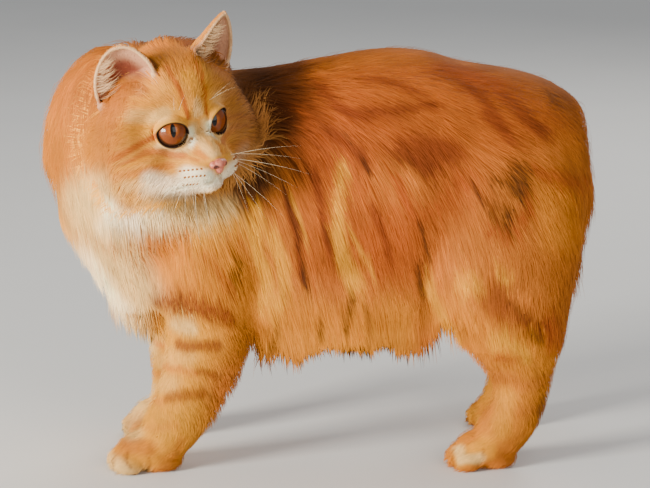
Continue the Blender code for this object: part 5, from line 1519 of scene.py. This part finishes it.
def within_hem(paths):
    """Draws in the hair under the belly, so that it ends where the photograph's does."""
    tips = picture_place(paths[:, -1])
    roots = picture_place(paths[:, 0])
    ragged = 12 * ripple(paths[:, 0] * (1, 1, 0), 0.016) - 3 + rng.normal(0, 5, len(paths))
    hem = np.interp(tips[:, 0], HEM[0], HEM[1]) + ragged
    shorter = np.clip((hem - roots[:, 1]) / np.maximum(tips[:, 1] - roots[:, 1], 1.0), 0.30, 1.0)
    beneath = (tips[:, 0] > HEM[0][0]) & (tips[:, 0] < HEM[0][-1]) & (tips[:, 1] > hem)
    return shortened(paths, np.where(beneath, shorter, 1.0))


def close_lying(paths):
    """Shortens the hair behind the far cheek that would stand off the coat."""
    place = in_head(paths[:, 0])
    apart = coat_surface.nearest(paths[:, -1])[2]
    behind = step(place[:, 1], -0.005, 0.010) * (1 - step(place[:, 1], 0.075, 0.095))
    behind *= step(paths[:, 0, 2], 0.150, 0.170)
    return shortened(paths, 1 - 0.93 * step(apart, 0.0015, 0.0060) * behind)


def tuft_colours(paths, on_head, root_shade, tone, blur):
    """The colour at each point of each tuft: darker at the root as painted shade, with a tone of its own."""
    count, along_it = paths.shape[:2]
    slide = unit(paths[:, -1] - paths[:, 0]) * rng.normal(0, blur, count)[:, None]
    flat = (paths + slide[:, None]).reshape(-1, 3)
    colours = in_batches(coat_colour, flat, np.repeat(on_head, along_it)).reshape(count, along_it, 3)
    own = np.exp(rng.normal(0, 0.075, count)) * tone
    rare = rng.uniform(0, 1, count)
    own = own * np.where(rare < 0.03, 1.12, 1.0) * np.where(rare > 0.985, 0.84, 1.0)
    return np.clip(colours * own[:, None, None] * np.array(root_shade)[None, :, None], 0.003, 0.95)


coat_pieces = []


def add_tufts(labels, most, paths, overs, widths, profile, colours, charts, softness=0.8):
    """Adds the tufts to the coat as one piece for each label."""
    for name, rows in split_pieces(labels, most):
        piece = tuft_mesh(
            name, paths[rows], overs[rows], widths[rows], profile, colours[rows], charts[rows], softness
        )
        # light passes through real hair, so the tufts throw no hard shadows on each other
        piece.visible_shadow = False
        coat_pieces.append(piece)


# Long hair of the trunk, ruff and rump
roots, root_normals = skin_samples(LONG_TUFTS, share_long)
root_head, root_ear = parts_near(roots)
x, y, z = roots.T
# Most of it lies in one thin layer, and a few loose hairs stand out, more of them at the bib and the rump
kind = rng.uniform(0, 1, LONG_TUFTS)
loose = kind > 0.94 - 0.10 * np.maximum(step(x, 0.145, 0.180), step(-x, 0.150, 0.180))
rises = np.where(kind < 0.10, rng.uniform(0.70, 0.92, LONG_TUFTS), rng.uniform(0.93, 1.03, LONG_TUFTS))
rises = np.where(loose, rng.uniform(1.05, 1.30, LONG_TUFTS), rises)
paths, overs = hair_paths(
    roots, root_normals, rng.normal(0, 0.06, (LONG_TUFTS, 3)), rng.uniform(0.75, 1.12, LONG_TUFTS),
    rises, TUFT_RINGS["long"], root_head, root_ear
)[:2]
pull = 0.10 + 0.10 * (1 - step(z, 0.16, 0.24)) + 0.40 * (1 - step(z, 0.095, 0.125))
pull = np.where(loose, 0.0, pull)
paths, nearest_guide = clumped(paths, guides, roots, guide_roots, pull)
paths = close_lying(within_sides(within_hem(paths)))
labels = np.where(x < -0.078, np.where(z > 0.19, "coat_ruff", "coat_chest"),
                  np.where(z > 0.245, "coat_back",
                           np.where(x > 0.085, np.where(y < 0, "coat_rump_left", "coat_rump_right"),
                                    np.where(y < 0, "coat_flank_left", "coat_flank_right"))))
# tufts that lie deeper in the coat are darker: painted shade
depth_shade = 0.86 + 0.14 * step(rises, 0.93, 1.02)
widths = LONG_WIDTH * rng.uniform(0.7, 1.3, LONG_TUFTS) * np.where(loose, 0.5, 1.0)
tone = guide_tone[nearest_guide] * depth_shade
colours = tuft_colours(paths, root_head, LONG_ROOT_SHADE, tone, 0.0022)
add_tufts(labels, MOST_LONG, paths, overs, widths, LONG_PROFILE, colours, chart_place(roots, root_head), 0.88)

# Short hair of the face, legs and paws
lid_gap = face_coat(skin_points)[3]
from_nose = np.linalg.norm(in_head(skin_points) - NOSE_TIP, axis=1)
face_wanted = (1.2 + 2.0 * (1 - step(from_nose, 0.020, 0.070))) * step(from_nose, 0.004, 0.009)
paw_wanted = 1 + 0.8 * (1 - step(skin_points[:, 2], 0.020, 0.040))
share_short = (1 - share_long) * np.where(on_head > 0.5, face_wanted * lid_gap, paw_wanted)
share_short *= (1 - on_ear) * step(skin_points[:, 2], 0.0010, 0.0030)
roots, root_normals = skin_samples(SHORT_TUFTS, share_short)
root_head, root_ear = parts_near(roots)
paths, overs, lengths = hair_paths(
    roots, root_normals, rng.normal(0, 0.08, (SHORT_TUFTS, 3)), rng.uniform(0.7, 1.2, SHORT_TUFTS),
    rng.uniform(0.65, 1.10, SHORT_TUFTS), TUFT_RINGS["short"], root_head, root_ear
)
paths = close_lying(paths)
labels = np.where(root_head > 0.5, np.where(in_head(roots)[:, 0] > 0.022, "coat_muzzle", "coat_cheeks"),
                  np.where(roots[:, 2] < 0.04, "coat_paws",
                           np.where(roots[:, 0] < 0, "coat_forelegs", "coat_hindlegs")))
widths = np.clip(lengths * 0.085, 0.00045, 0.0010) * rng.uniform(0.8, 1.25, SHORT_TUFTS)
colours = tuft_colours(paths, root_head, SHORT_ROOT_SHADE, np.ones(SHORT_TUFTS), 0.0004)
add_tufts(labels, MOST_SHORT, paths, overs, widths, SHORT_PROFILE, colours, chart_place(roots, root_head))


def seen_place(place):
    """The spot of the coat's surface behind a place in the photograph."""
    across, up = place[0] - PICTURE[0] / 2, PICTURE[1] / 2 - place[1]
    way = CAMERA_RIGHT * across + CAMERA_UP * up - CAMERA_BACK * PICTURE_SCALE
    return coat_surface.tree.ray_cast(CAMERA_PLACE - centring.translation, way.normalized())[0]


# The brown dots where the whiskers grow: tiny tufts in rows on both sides of the muzzle
spots = [seen_place(np.array(place) + FACE_SLIDE) for first, last, count in DOT_ROWS
         for place in np.linspace(first, last, count)]
spots = out_of_head(both_halves(in_head(np.array([np.array(spot) for spot in spots]))))
roots, overs = coat_surface.nearest(spots)[:2]
ways = unit(along(face_coat(roots)[0], overs))
ahead = np.array((-0.2, 0.5, 1.0))[None, :, None] * DOT_LENGTH
rise = np.array((0.0002, 0.0009, 0.0007))[None, :, None]
paths = roots[:, None] + ways[:, None] * ahead + overs[:, None] * rise
count = len(roots)
add_tufts(np.full(count, "coat_dots"), MOST_SHORT, paths, np.repeat(overs[:, None], 3, axis=1),
          np.full(count, DOT_WIDTH), (0.8, 1.0), np.tile(linear(DOT_TINT), (count, 3, 1)),
          chart_place(roots, np.ones(count)))


def ear_tufts(side, count):
    """Short hair of an ear: dense on its back and rim, thin inside."""
    mine = on_ear * (in_head(skin_points)[:, 1] * side > 0)
    facing, gap = np.zeros(len(mine)), np.ones(len(mine))
    rows = np.nonzero(mine > 0.01)[0]
    facing[rows], gap[rows] = ear_seen(skin_points[rows], skin_normals[rows], side)
    wanted = mine * (0.15 + 0.85 * (1 - step(facing, -0.2, 0.2)) + 0.6 * (1 - step(gap, 0.001, 0.003)))
    roots, normals = skin_samples(count, wanted)
    facing, gap = ear_seen(roots, normals, side)
    upward = unit(np.array(EARS[side][1]))
    rise = HEAD_TURNED @ upward
    outward = unit(roots - out_of_head(np.array(EARS[side][0])[None] + upward * 0.008))
    ways = unit(along(rise + outward * 0.4 + rng.normal(0, 0.10, (count, 3)), normals) + normals * 0.05)
    length = rng.uniform(0.0030, 0.0055, count) * (1 - 0.35 * step(facing, -0.2, 0.2))
    length = (length * (0.55 + 0.45 * step(gap, 0.001, 0.005)))[:, None]
    paths = np.stack([roots - normals * 0.0004, roots + ways * length * 0.5 + normals * 0.0002,
                      roots + ways * length - normals * 0.0001], axis=1)
    colour = ear_colour(roots, normals, np.zeros((count, 3)), np.ones(count))
    # darker at the root and lighter at the tip: painted shade within the hair
    colour = colour[:, None] * np.array((0.9, 1.0, 1.06))[None, :, None]
    colour = colour * np.exp(rng.normal(0, 0.07, count))[:, None, None]
    return paths, np.repeat(normals[:, None], 3, axis=1), np.clip(colour, 0, 0.95), in_head(roots)[:, 1:]


def ear_hair(side, count):
    """Long pale hairs that cross the opening of an ear from its front edge."""
    rows = np.array(ear_points(side))
    last = EAR_COLUMNS - 1
    rise = unit(np.array(EARS[side][1]))
    level = rng.uniform(0.03, 0.55, count)
    column = rng.uniform(0.5, 6.5, count)
    r = np.clip((level * (EAR_ROWS - 1)).astype(int) + 1, 1, 18)
    c = column.astype(int)
    from_edge = last - c if side > 0 else c
    front = rows[r, from_edge]
    ahead = unit((rows[r, 2] + rows[r, last - 2]) / 2 - rows[r, last // 2])
    run = unit(rows[r, last - from_edge] - front)
    length = (rng.uniform(0.009, 0.018, count) * (1.05 - level))[:, None]
    paths = np.stack([
        front - run * 0.001,
        front + run * length * 0.35 + ahead * 0.0020 + rise * length * 0.12,
        front + run * length * 0.70 + ahead * 0.0028 + rise * length * 0.32,
        front + run * length + ahead * 0.0024 + rise * length * 0.55,
    ], axis=1)
    paths += rng.normal(0, 0.0011, (count, 1, 3)) * np.array((0.0, 0.4, 0.9, 1.6))[None, :, None]
    colours = np.tile(linear(EAR_HAIR_TINT), (count, 4, 1)) * rng.uniform(0.75, 1.0, count)[:, None, None]
    turned = out_of_head(paths.reshape(-1, 3)).reshape(paths.shape)
    ways = np.repeat((ahead @ HEAD_TURNED.T)[:, None], 4, axis=1)
    return turned, ways, colours, np.stack([level, column / 7 + (side > 0)], axis=1)


for name, make, counts, width, profile, softness in (
    ("coat_ears", ear_tufts, EAR_TUFTS, EAR_TUFT_WIDTH, SHORT_PROFILE, 0.0),
    ("coat_ear_hair", ear_hair, EAR_HAIRS, EAR_HAIR_WIDTH, (1.0, 0.9, 0.6), 0.4),
):
    made = [make(side, count) for side, count in zip((1, -1), counts)]
    paths, overs, colours, charts = (np.concatenate(pair) for pair in zip(*made))
    labels, widths = np.full(len(paths), name), np.full(len(paths), width)
    add_tufts(labels, MOST_SHORT, paths, overs, widths, profile, colours, charts, softness)


# How far each eye looks to the right of the camera and above it, in radians
GAZE_SLIDE = {1: (0.26, 0.02), -1: (0.14, 0.03)}
CORNEA_BULGE = 0.030


def eyeball(side):
    """An eye with the place of each point round its gaze, in eye radii: right, up and forwards."""
    centre = np.array(HEAD @ Vector(eye_frame(side)[0]))
    gaze = unit(np.array(CAMERA_PLACE) - centre - np.array(centring.translation))
    right = unit(np.cross((0, 0, 1.0), gaze))
    up = np.cross(gaze, right)
    gaze = unit(gaze + right * GAZE_SLIDE[side][0] + up * GAZE_SLIDE[side][1])
    right = unit(np.cross((0, 0, 1.0), gaze))
    up = np.cross(gaze, right)
    tilt = HEAD_TILT * 0.6
    c, s = math.cos(tilt), math.sin(tilt)
    right, up = right * c + up * s, up * c - right * s
    mesh = bmesh.new()
    bmesh.ops.create_icosphere(mesh, subdivisions=6, radius=1.0)
    data = bpy.data.meshes.new("eye")
    mesh.to_mesh(data)
    mesh.free()
    made = new_object("eye_left_shown" if side > 0 else "eye_right_shown", data)
    ways = unit(points_of(made)[0])
    forward = ways @ gaze
    bulge = 1 + CORNEA_BULGE * step(forward, 0.80, 0.97)
    set_points(made, centre + ways * (EYE_RADIUS * bulge)[:, None])
    layer = data.attributes.new("gaze", "FLOAT_VECTOR", "POINT")
    seen = np.stack([ways @ right, ways @ up, forward], axis=1)
    layer.data.foreach_set("vector", seen.astype(np.float32).ravel())
    data.shade_smooth()
    return made


eyes = [eyeball(side) for side in (1, -1)]


def sum_by(operation, swapped=False):
    """A method of Value that makes one Math node."""

    def method(self, other):
        pair = (other, self) if swapped else (self, other)
        return self.paint.make("ShaderNodeMath", {"operation": operation}, pair)

    return method


class Value:
    """A number, vector or colour in a shader's nodes, for use in plain sums."""

    def __init__(self, paint, socket):
        self.paint = paint
        self.socket = socket

    __add__ = sum_by("ADD")
    __radd__ = sum_by("ADD", True)
    __sub__ = sum_by("SUBTRACT")
    __rsub__ = sum_by("SUBTRACT", True)
    __mul__ = sum_by("MULTIPLY")
    __rmul__ = sum_by("MULTIPLY", True)
    __truediv__ = sum_by("DIVIDE")
    __rtruediv__ = sum_by("DIVIDE", True)
    __pow__ = sum_by("POWER")

    def part(self, index):
        return self.paint.make("ShaderNodeSeparateXYZ", {}, (self,), output=index)

    def rising(self, low, high):
        """0 below low, 1 above high, smooth between."""
        choices = {"interpolation_type": "SMOOTHSTEP"}
        return self.paint.make("ShaderNodeMapRange", choices, (self, low, high, 0.0, 1.0))


class Paint:
    """A material whose nodes are made by name."""

    def __init__(self, name, roughness, **settings):
        self.material = bpy.data.materials.new(name)
        self.material.use_nodes = True
        self.tree = self.material.node_tree
        self.shader = self.tree.nodes["Principled BSDF"]
        self.shader.inputs["Roughness"].default_value = roughness
        for key, value in settings.items():
            self.shader.inputs[key.replace("_", " ")].default_value = value

    def make(self, kind, settings, inputs=(), output=0):
        """Makes a node, sets its choices, fills its inputs in order or by name, and gives an output."""
        node = self.tree.nodes.new(kind)
        for key, value in settings.items():
            setattr(node, key, value)
        pairs = inputs.items() if isinstance(inputs, dict) else enumerate(inputs)
        for key, value in pairs:
            if isinstance(value, Value):
                self.tree.links.new(value.socket, node.inputs[key])
            elif value is not None:
                node.inputs[key].default_value = value
        return Value(self, node.outputs[output])

    def attribute(self, name, output="Color"):
        return self.make("ShaderNodeAttribute", {"attribute_name": name}, output=output)

    def coordinates(self):
        return self.make("ShaderNodeTexCoord", {}, output="Object")

    def noise(self, scale, detail=2.0, stretch=None):
        place = self.coordinates()
        if stretch:
            place = self.make("ShaderNodeMapping", {}, {"Vector": place, "Scale": stretch})
        return self.make("ShaderNodeTexNoise", {}, {"Vector": place, "Scale": scale, "Detail": detail})

    def mix(self, share, first, second):
        """A colour between two others."""
        node_inputs = {0: share, 6: first, 7: second}
        return self.make("ShaderNodeMix", {"data_type": "RGBA"}, node_inputs, output=2)

    def bump(self, height, strength, distance):
        return self.make("ShaderNodeBump", {}, {"Strength": strength, "Distance": distance, "Height": height})

    def shade(self, socket, value):
        self.tree.links.new(value.socket, self.shader.inputs[socket])


def colour_value(tint):
    """A colour of 0 to 255 a channel as a shader's input."""
    return (*linear(tint), 1.0)


def scaled(paint, colour, factor):
    """A colour made lighter or darker by a factor."""
    return paint.make("ShaderNodeVectorMath", {"operation": "SCALE"}, {0: colour, "Scale": factor})


fur = Paint("fur", 0.65, Specular_IOR_Level=0.08, Sheen_Weight=0.015, Sheen_Roughness=0.4)
fur.shader.inputs["Sheen Tint"].default_value = (1.0, 0.85, 0.65, 1.0)
fur.shade("Base Color", scaled(fur, fur.attribute("markings"), 0.94 + 0.12 * fur.noise(900.0)))

hide = Paint("hide", 0.80, Specular_IOR_Level=0.2)
hide.shade("Base Color", scaled(hide, hide.attribute("markings"), 0.82 + 0.36 * hide.noise(600.0, 3.0)))
hide.shade("Normal", hide.bump(hide.noise(1400.0, 3.0), 0.5, 0.0006))

IRIS_MIDDLE = (170, 90, 26)
IRIS_OUTER = (124, 60, 16)
IRIS_STREAK = (104, 44, 14)
IRIS_EDGE = (44, 24, 14)
PUPIL = (8, 6, 6)
PUPIL_HALF_WIDTH = 0.17
PUPIL_HALF_HEIGHT = 0.42
iris = Paint("iris", 0.25, Coat_Weight=0.55, Coat_Roughness=0.02, Coat_IOR=1.36, Specular_IOR_Level=0.15)
seen = iris.attribute("gaze", "Vector")
across, height, ahead = seen.part(0), seen.part(1), seen.part(2)
from_middle = (across * across + height * height) ** 0.5
turn = iris.make("ShaderNodeMath", {"operation": "ARCTAN2"}, (height, across))
streaks = iris.make("ShaderNodeTexNoise", {"noise_dimensions": "2D"},
                    {"Vector": iris.make("ShaderNodeCombineXYZ", {}, (turn * 14.0, from_middle * 3.0, 0.0)),
                     "Scale": 1.0, "Detail": 3.0})
colour = iris.mix(from_middle.rising(0.16, 0.42), colour_value(IRIS_MIDDLE), colour_value(IRIS_OUTER))
colour = iris.mix(streaks.rising(0.40, 0.75) * 0.55, colour, colour_value(IRIS_STREAK))
colour = iris.mix(from_middle.rising(0.70, 0.80), colour, colour_value(IRIS_EDGE))
slit = ((across / PUPIL_HALF_WIDTH) ** 2.0 + (height / PUPIL_HALF_HEIGHT) ** 2.0) ** 0.5
colour = iris.mix(1.0 - slit.rising(0.80, 1.05), colour, colour_value(PUPIL))
iris.shade("Base Color", colour)

NOSE_PINK = (206, 118, 94)
NOSE_DEEP = (176, 86, 66)
NOSTRIL_SHADE = (60, 22, 16)
leather = Paint("nose_leather", 0.38, Coat_Weight=0.25, Coat_Roughness=0.2)
pebbles = leather.make("ShaderNodeTexVoronoi", {}, {"Vector": leather.coordinates(), "Scale": 2600.0})
leather_tint = leather.mix(leather.noise(700.0, 3.0).rising(0.35, 0.7), colour_value(NOSE_PINK),
                           colour_value(NOSE_DEEP))
# 0 in the nostrils, where the leather takes their painted shade
dark = leather.attribute("markings").part(0)
leather.shade("Base Color", leather.mix(dark, colour_value(NOSTRIL_SHADE), leather_tint))
leather.shade("Normal", leather.bump(pebbles, 0.35, 0.0003))

WHISKER_TINT = (250, 228, 186)
WHISKER_THICKNESS = 0.00010
whisker_paint = Paint("whisker", 0.35, Specular_IOR_Level=0.6)
whisker_paint.shader.inputs["Base Color"].default_value = colour_value(WHISKER_TINT)

ground = Paint("floor", 0.9)
ground.shade("Base Color", ground.mix(ground.noise(6.0, 3.0), (0.70, 0.70, 0.69, 1), (0.74, 0.74, 0.73, 1)))

# Whiskers: place of the root in the head's frame, the way it grows in the body's frame, and its length. Those
# on the cat's right hang down over its bib, those on its left spread past its cheek.
WHISKERS = [
    ((0.044, -0.0115, -0.0190), (0.10, -0.16, -1.0), 0.046),
    ((0.041, -0.0135, -0.0195), (0.02, -0.16, -1.0), 0.050),
    ((0.038, -0.0150, -0.0205), (-0.08, -0.15, -1.0), 0.048),
    ((0.045, -0.0115, -0.0225), (0.18, -0.14, -1.0), 0.040),
    ((0.042, -0.0135, -0.0235), (-0.02, -0.13, -1.0), 0.044),
    ((0.036, -0.0160, -0.0220), (-0.30, -0.10, -1.0), 0.040),
    ((0.034, -0.0165, -0.0200), (-0.55, -0.08, -0.9), 0.034),
    ((0.043, 0.0125, -0.0160), (1.0, -0.10, 0.24), 0.050),
    ((0.040, 0.0145, -0.0165), (1.0, 0.00, 0.02), 0.048),
    ((0.043, 0.0125, -0.0195), (1.0, -0.16, -0.10), 0.056),
    ((0.040, 0.0145, -0.0200), (1.0, -0.10, -0.34), 0.050),
    ((0.037, 0.0155, -0.0210), (1.0, -0.06, -0.52), 0.046),
    ((0.043, 0.0125, -0.0230), (0.85, -0.14, -0.62), 0.048),
    ((0.040, 0.0145, -0.0240), (0.70, -0.12, -0.85), 0.044),
    ((0.037, 0.0155, -0.0245), (0.50, -0.12, -1.0), 0.036),
    ((0.026, 0.0150, 0.0215), (0.8, -0.25, 0.55), 0.022),
    ((0.024, 0.0180, 0.0210), (0.7, -0.15, 0.75), 0.018),
    ((0.026, -0.0140, 0.0210), (0.25, -0.35, 0.95), 0.015),
    ((0.024, -0.0170, 0.0205), (-0.10, -0.35, 1.0), 0.013),
]


def whisker_tree():
    """A Geometry Nodes tree that grows one tapered, bent whisker from each root point."""
    tree = bpy.data.node_groups.new("whiskers", "GeometryNodeTree")
    tree.interface.new_socket(name="Roots", in_out="INPUT", socket_type="NodeSocketGeometry")
    thickness = tree.interface.new_socket(name="Thickness", in_out="INPUT", socket_type="NodeSocketFloat")
    thickness.default_value = WHISKER_THICKNESS
    tree.interface.new_socket(name="Whiskers", in_out="OUTPUT", socket_type="NodeSocketGeometry")
    nodes = tree.nodes

    def make(kind, settings=(), inputs=(), output=0):
        node = nodes.new(kind)
        for key, value in dict(settings).items():
            setattr(node, key, value)
        for key, value in dict(inputs).items():
            if isinstance(value, bpy.types.NodeSocket):
                tree.links.new(value, node.inputs[key])
            else:
                node.inputs[key].default_value = value
        return node.outputs[output]

    entry = nodes.new("NodeGroupInput")
    line = make("GeometryNodeCurveQuadraticBezier", {}, {
        "Resolution": 14, "Start": (0, 0, 0), "Middle": (0, 0, 0.55), "End": (0.10, 0, 1.0)})
    share = make("GeometryNodeSplineParameter", output="Factor")
    thin = make("ShaderNodeMath", {"operation": "SUBTRACT"}, {0: 1.04, 1: share})
    radius = make("ShaderNodeMath", {"operation": "MULTIPLY"}, {0: thin, 1: entry.outputs["Thickness"]})
    round_curve = make("GeometryNodeCurvePrimitiveCircle", {}, {"Resolution": 6, "Radius": 1.0})
    aim = make("GeometryNodeInputNamedAttribute", {"data_type": "FLOAT_VECTOR"}, {"Name": "aim"})
    long = make("GeometryNodeInputNamedAttribute", {"data_type": "FLOAT"}, {"Name": "long"})
    turned = make("FunctionNodeAlignRotationToVector", {"axis": "Z"}, {"Vector": aim})
    grown_on = make("GeometryNodeInstanceOnPoints", {}, {
        "Points": entry.outputs["Roots"], "Instance": line, "Rotation": turned, "Scale": long})
    real = make("GeometryNodeRealizeInstances", {}, {"Geometry": grown_on})
    tubes = make("GeometryNodeCurveToMesh", {}, {
        "Curve": real, "Profile Curve": round_curve, "Fill Caps": True, "Scale": radius})
    material = make("GeometryNodeSetMaterial", {}, {"Geometry": tubes})
    material.node.inputs["Material"].default_value = whisker_paint.material
    exit_node = nodes.new("NodeGroupOutput")
    tree.links.new(material, exit_node.inputs["Whiskers"])
    return tree


def whiskers():
    """All whiskers as one real mesh."""
    data = bpy.data.meshes.new("whisker roots")
    roots = Surface(skin).nearest(out_of_head(np.array([row[0] for row in WHISKERS])))[0]
    data.vertices.add(len(roots))
    data.vertices.foreach_set("co", roots.astype(np.float32).ravel())
    aim = data.attributes.new("aim", "FLOAT_VECTOR", "POINT")
    aim.data.foreach_set("vector", unit(np.array([row[1] for row in WHISKERS])).astype(np.float32).ravel())
    long = data.attributes.new("long", "FLOAT", "POINT")
    long.data.foreach_set("value", np.array([row[2] for row in WHISKERS], np.float32))
    made = new_object("whiskers", data)
    grow = made.modifiers.new("grow", "NODES")
    grow.node_group = whisker_tree()
    return applied(made)


whisker_piece = whiskers()

# The skin's own colours, a little darker than the hair over it
SKIN_SHADE = 0.90
LINER = (44, 26, 18)
LIP = (92, 48, 36)
skin_colour = in_batches(coat_colour, skin_points, on_head) * SKIN_SHADE
skin_colour = ear_colour(skin_points, skin_normals, skin_colour, on_ear)
face = in_head(skin_points)
for side in (1, -1):
    edge, distance = lid_share(face, side)
    liner = (1 - step(edge, 1.01, 1.06)) * (1 - step(distance - EYE_RADIUS, 0.0013, 0.0019))
    lay(LINER, skin_colour, liner)
lip_gap = from_line(face, lips)
lip = 0.6 * (1 - step(lip_gap, 0.0006, 0.0013)) * on_head
lay(LIP, skin_colour, lip)
set_colours(skin.data, skin_colour)
# the nose is darkened in and round each nostril: painted shade in the hollows
on_nose = in_head(points_of(nose)[0])
from_nostril = np.linalg.norm(np.abs(on_nose) - np.abs(NOSTRIL), axis=1)
set_colours(nose.data, np.repeat(step(from_nostril, 0.0014, 0.0026)[:, None], 3, axis=1))
skin.data.shade_smooth()
nose.data.shade_smooth()


def given(obj, paint):
    """Gives the object one material."""
    obj.data.materials.clear()
    obj.data.materials.append(paint.material)


given(skin, hide)
given(nose, leather)
given(whisker_piece, whisker_paint)
for piece in eyes:
    given(piece, iris)
for piece in coat_pieces:
    given(piece, fur)
for spare in [head_outside] + ears_alone:
    bpy.data.objects.remove(spare)

nose.name = "nose_shown"
for piece in [skin, nose, whisker_piece] + eyes + coat_pieces:
    piece.data.transform(centring)
    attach(piece, "root")
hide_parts("head", "neck", "torso", "ear_left", "ear_right",
            *(kind + "_" + side for kind in ("foreleg", "forepaw", "thigh", "shank", "hindpaw")
              for side in ("left", "right")))
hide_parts("nose")
for piece, name in zip(eyes, ("eye_left", "eye_right")):
    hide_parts(name)
for piece in coat_pieces:
    base = "_".join(piece.name.split("_")[:2])

# The floor, the light and the camera
floor_mesh = bmesh.new()
bmesh.ops.create_grid(floor_mesh, x_segments=1, y_segments=1, size=6.0)
floor = object_from(floor_mesh, "floor")
given(floor, ground)


def lamp(name, place, aim, power, size, tint):
    """A soft square light at a place, turned towards a point."""
    data = bpy.data.lights.new(name, "AREA")
    data.energy = power
    data.size = size
    data.color = tint
    made = new_object(name, data)
    made.location = place
    made.rotation_euler = (Vector(aim) - Vector(place)).to_track_quat("-Z", "Y").to_euler()
    return made


lamp("key", (-1.65, -1.05, 0.60), (-0.02, -0.02, 0.18), 88.0, 0.60, (1.0, 0.95, 0.85))
lamp("fill", (0.9, -1.9, 1.0), (0.0, 0.0, 0.15), 16.0, 1.2, (1.0, 0.97, 0.93))
lamp("rim", (0.7, 1.4, 1.3), (0.0, 0.0, 0.2), 14.0, 0.8, (1.0, 0.96, 0.9))
world = bpy.data.worlds.new("studio")
world.use_nodes = True
background = world.node_tree.nodes["Background"]
background.inputs["Color"].default_value = (0.9, 0.92, 0.95, 1)
background.inputs["Strength"].default_value = 0.42
bpy.context.scene.world = world

camera_data = bpy.data.cameras.new("camera")
camera_data.lens = LENS
camera_data.sensor_width = SENSOR
camera = new_object("camera", camera_data)
camera.location = CAMERA_PLACE
camera.rotation_euler = (-CAMERA_BACK).to_track_quat("-Z", "Y").to_euler()
bpy.context.scene.camera = camera
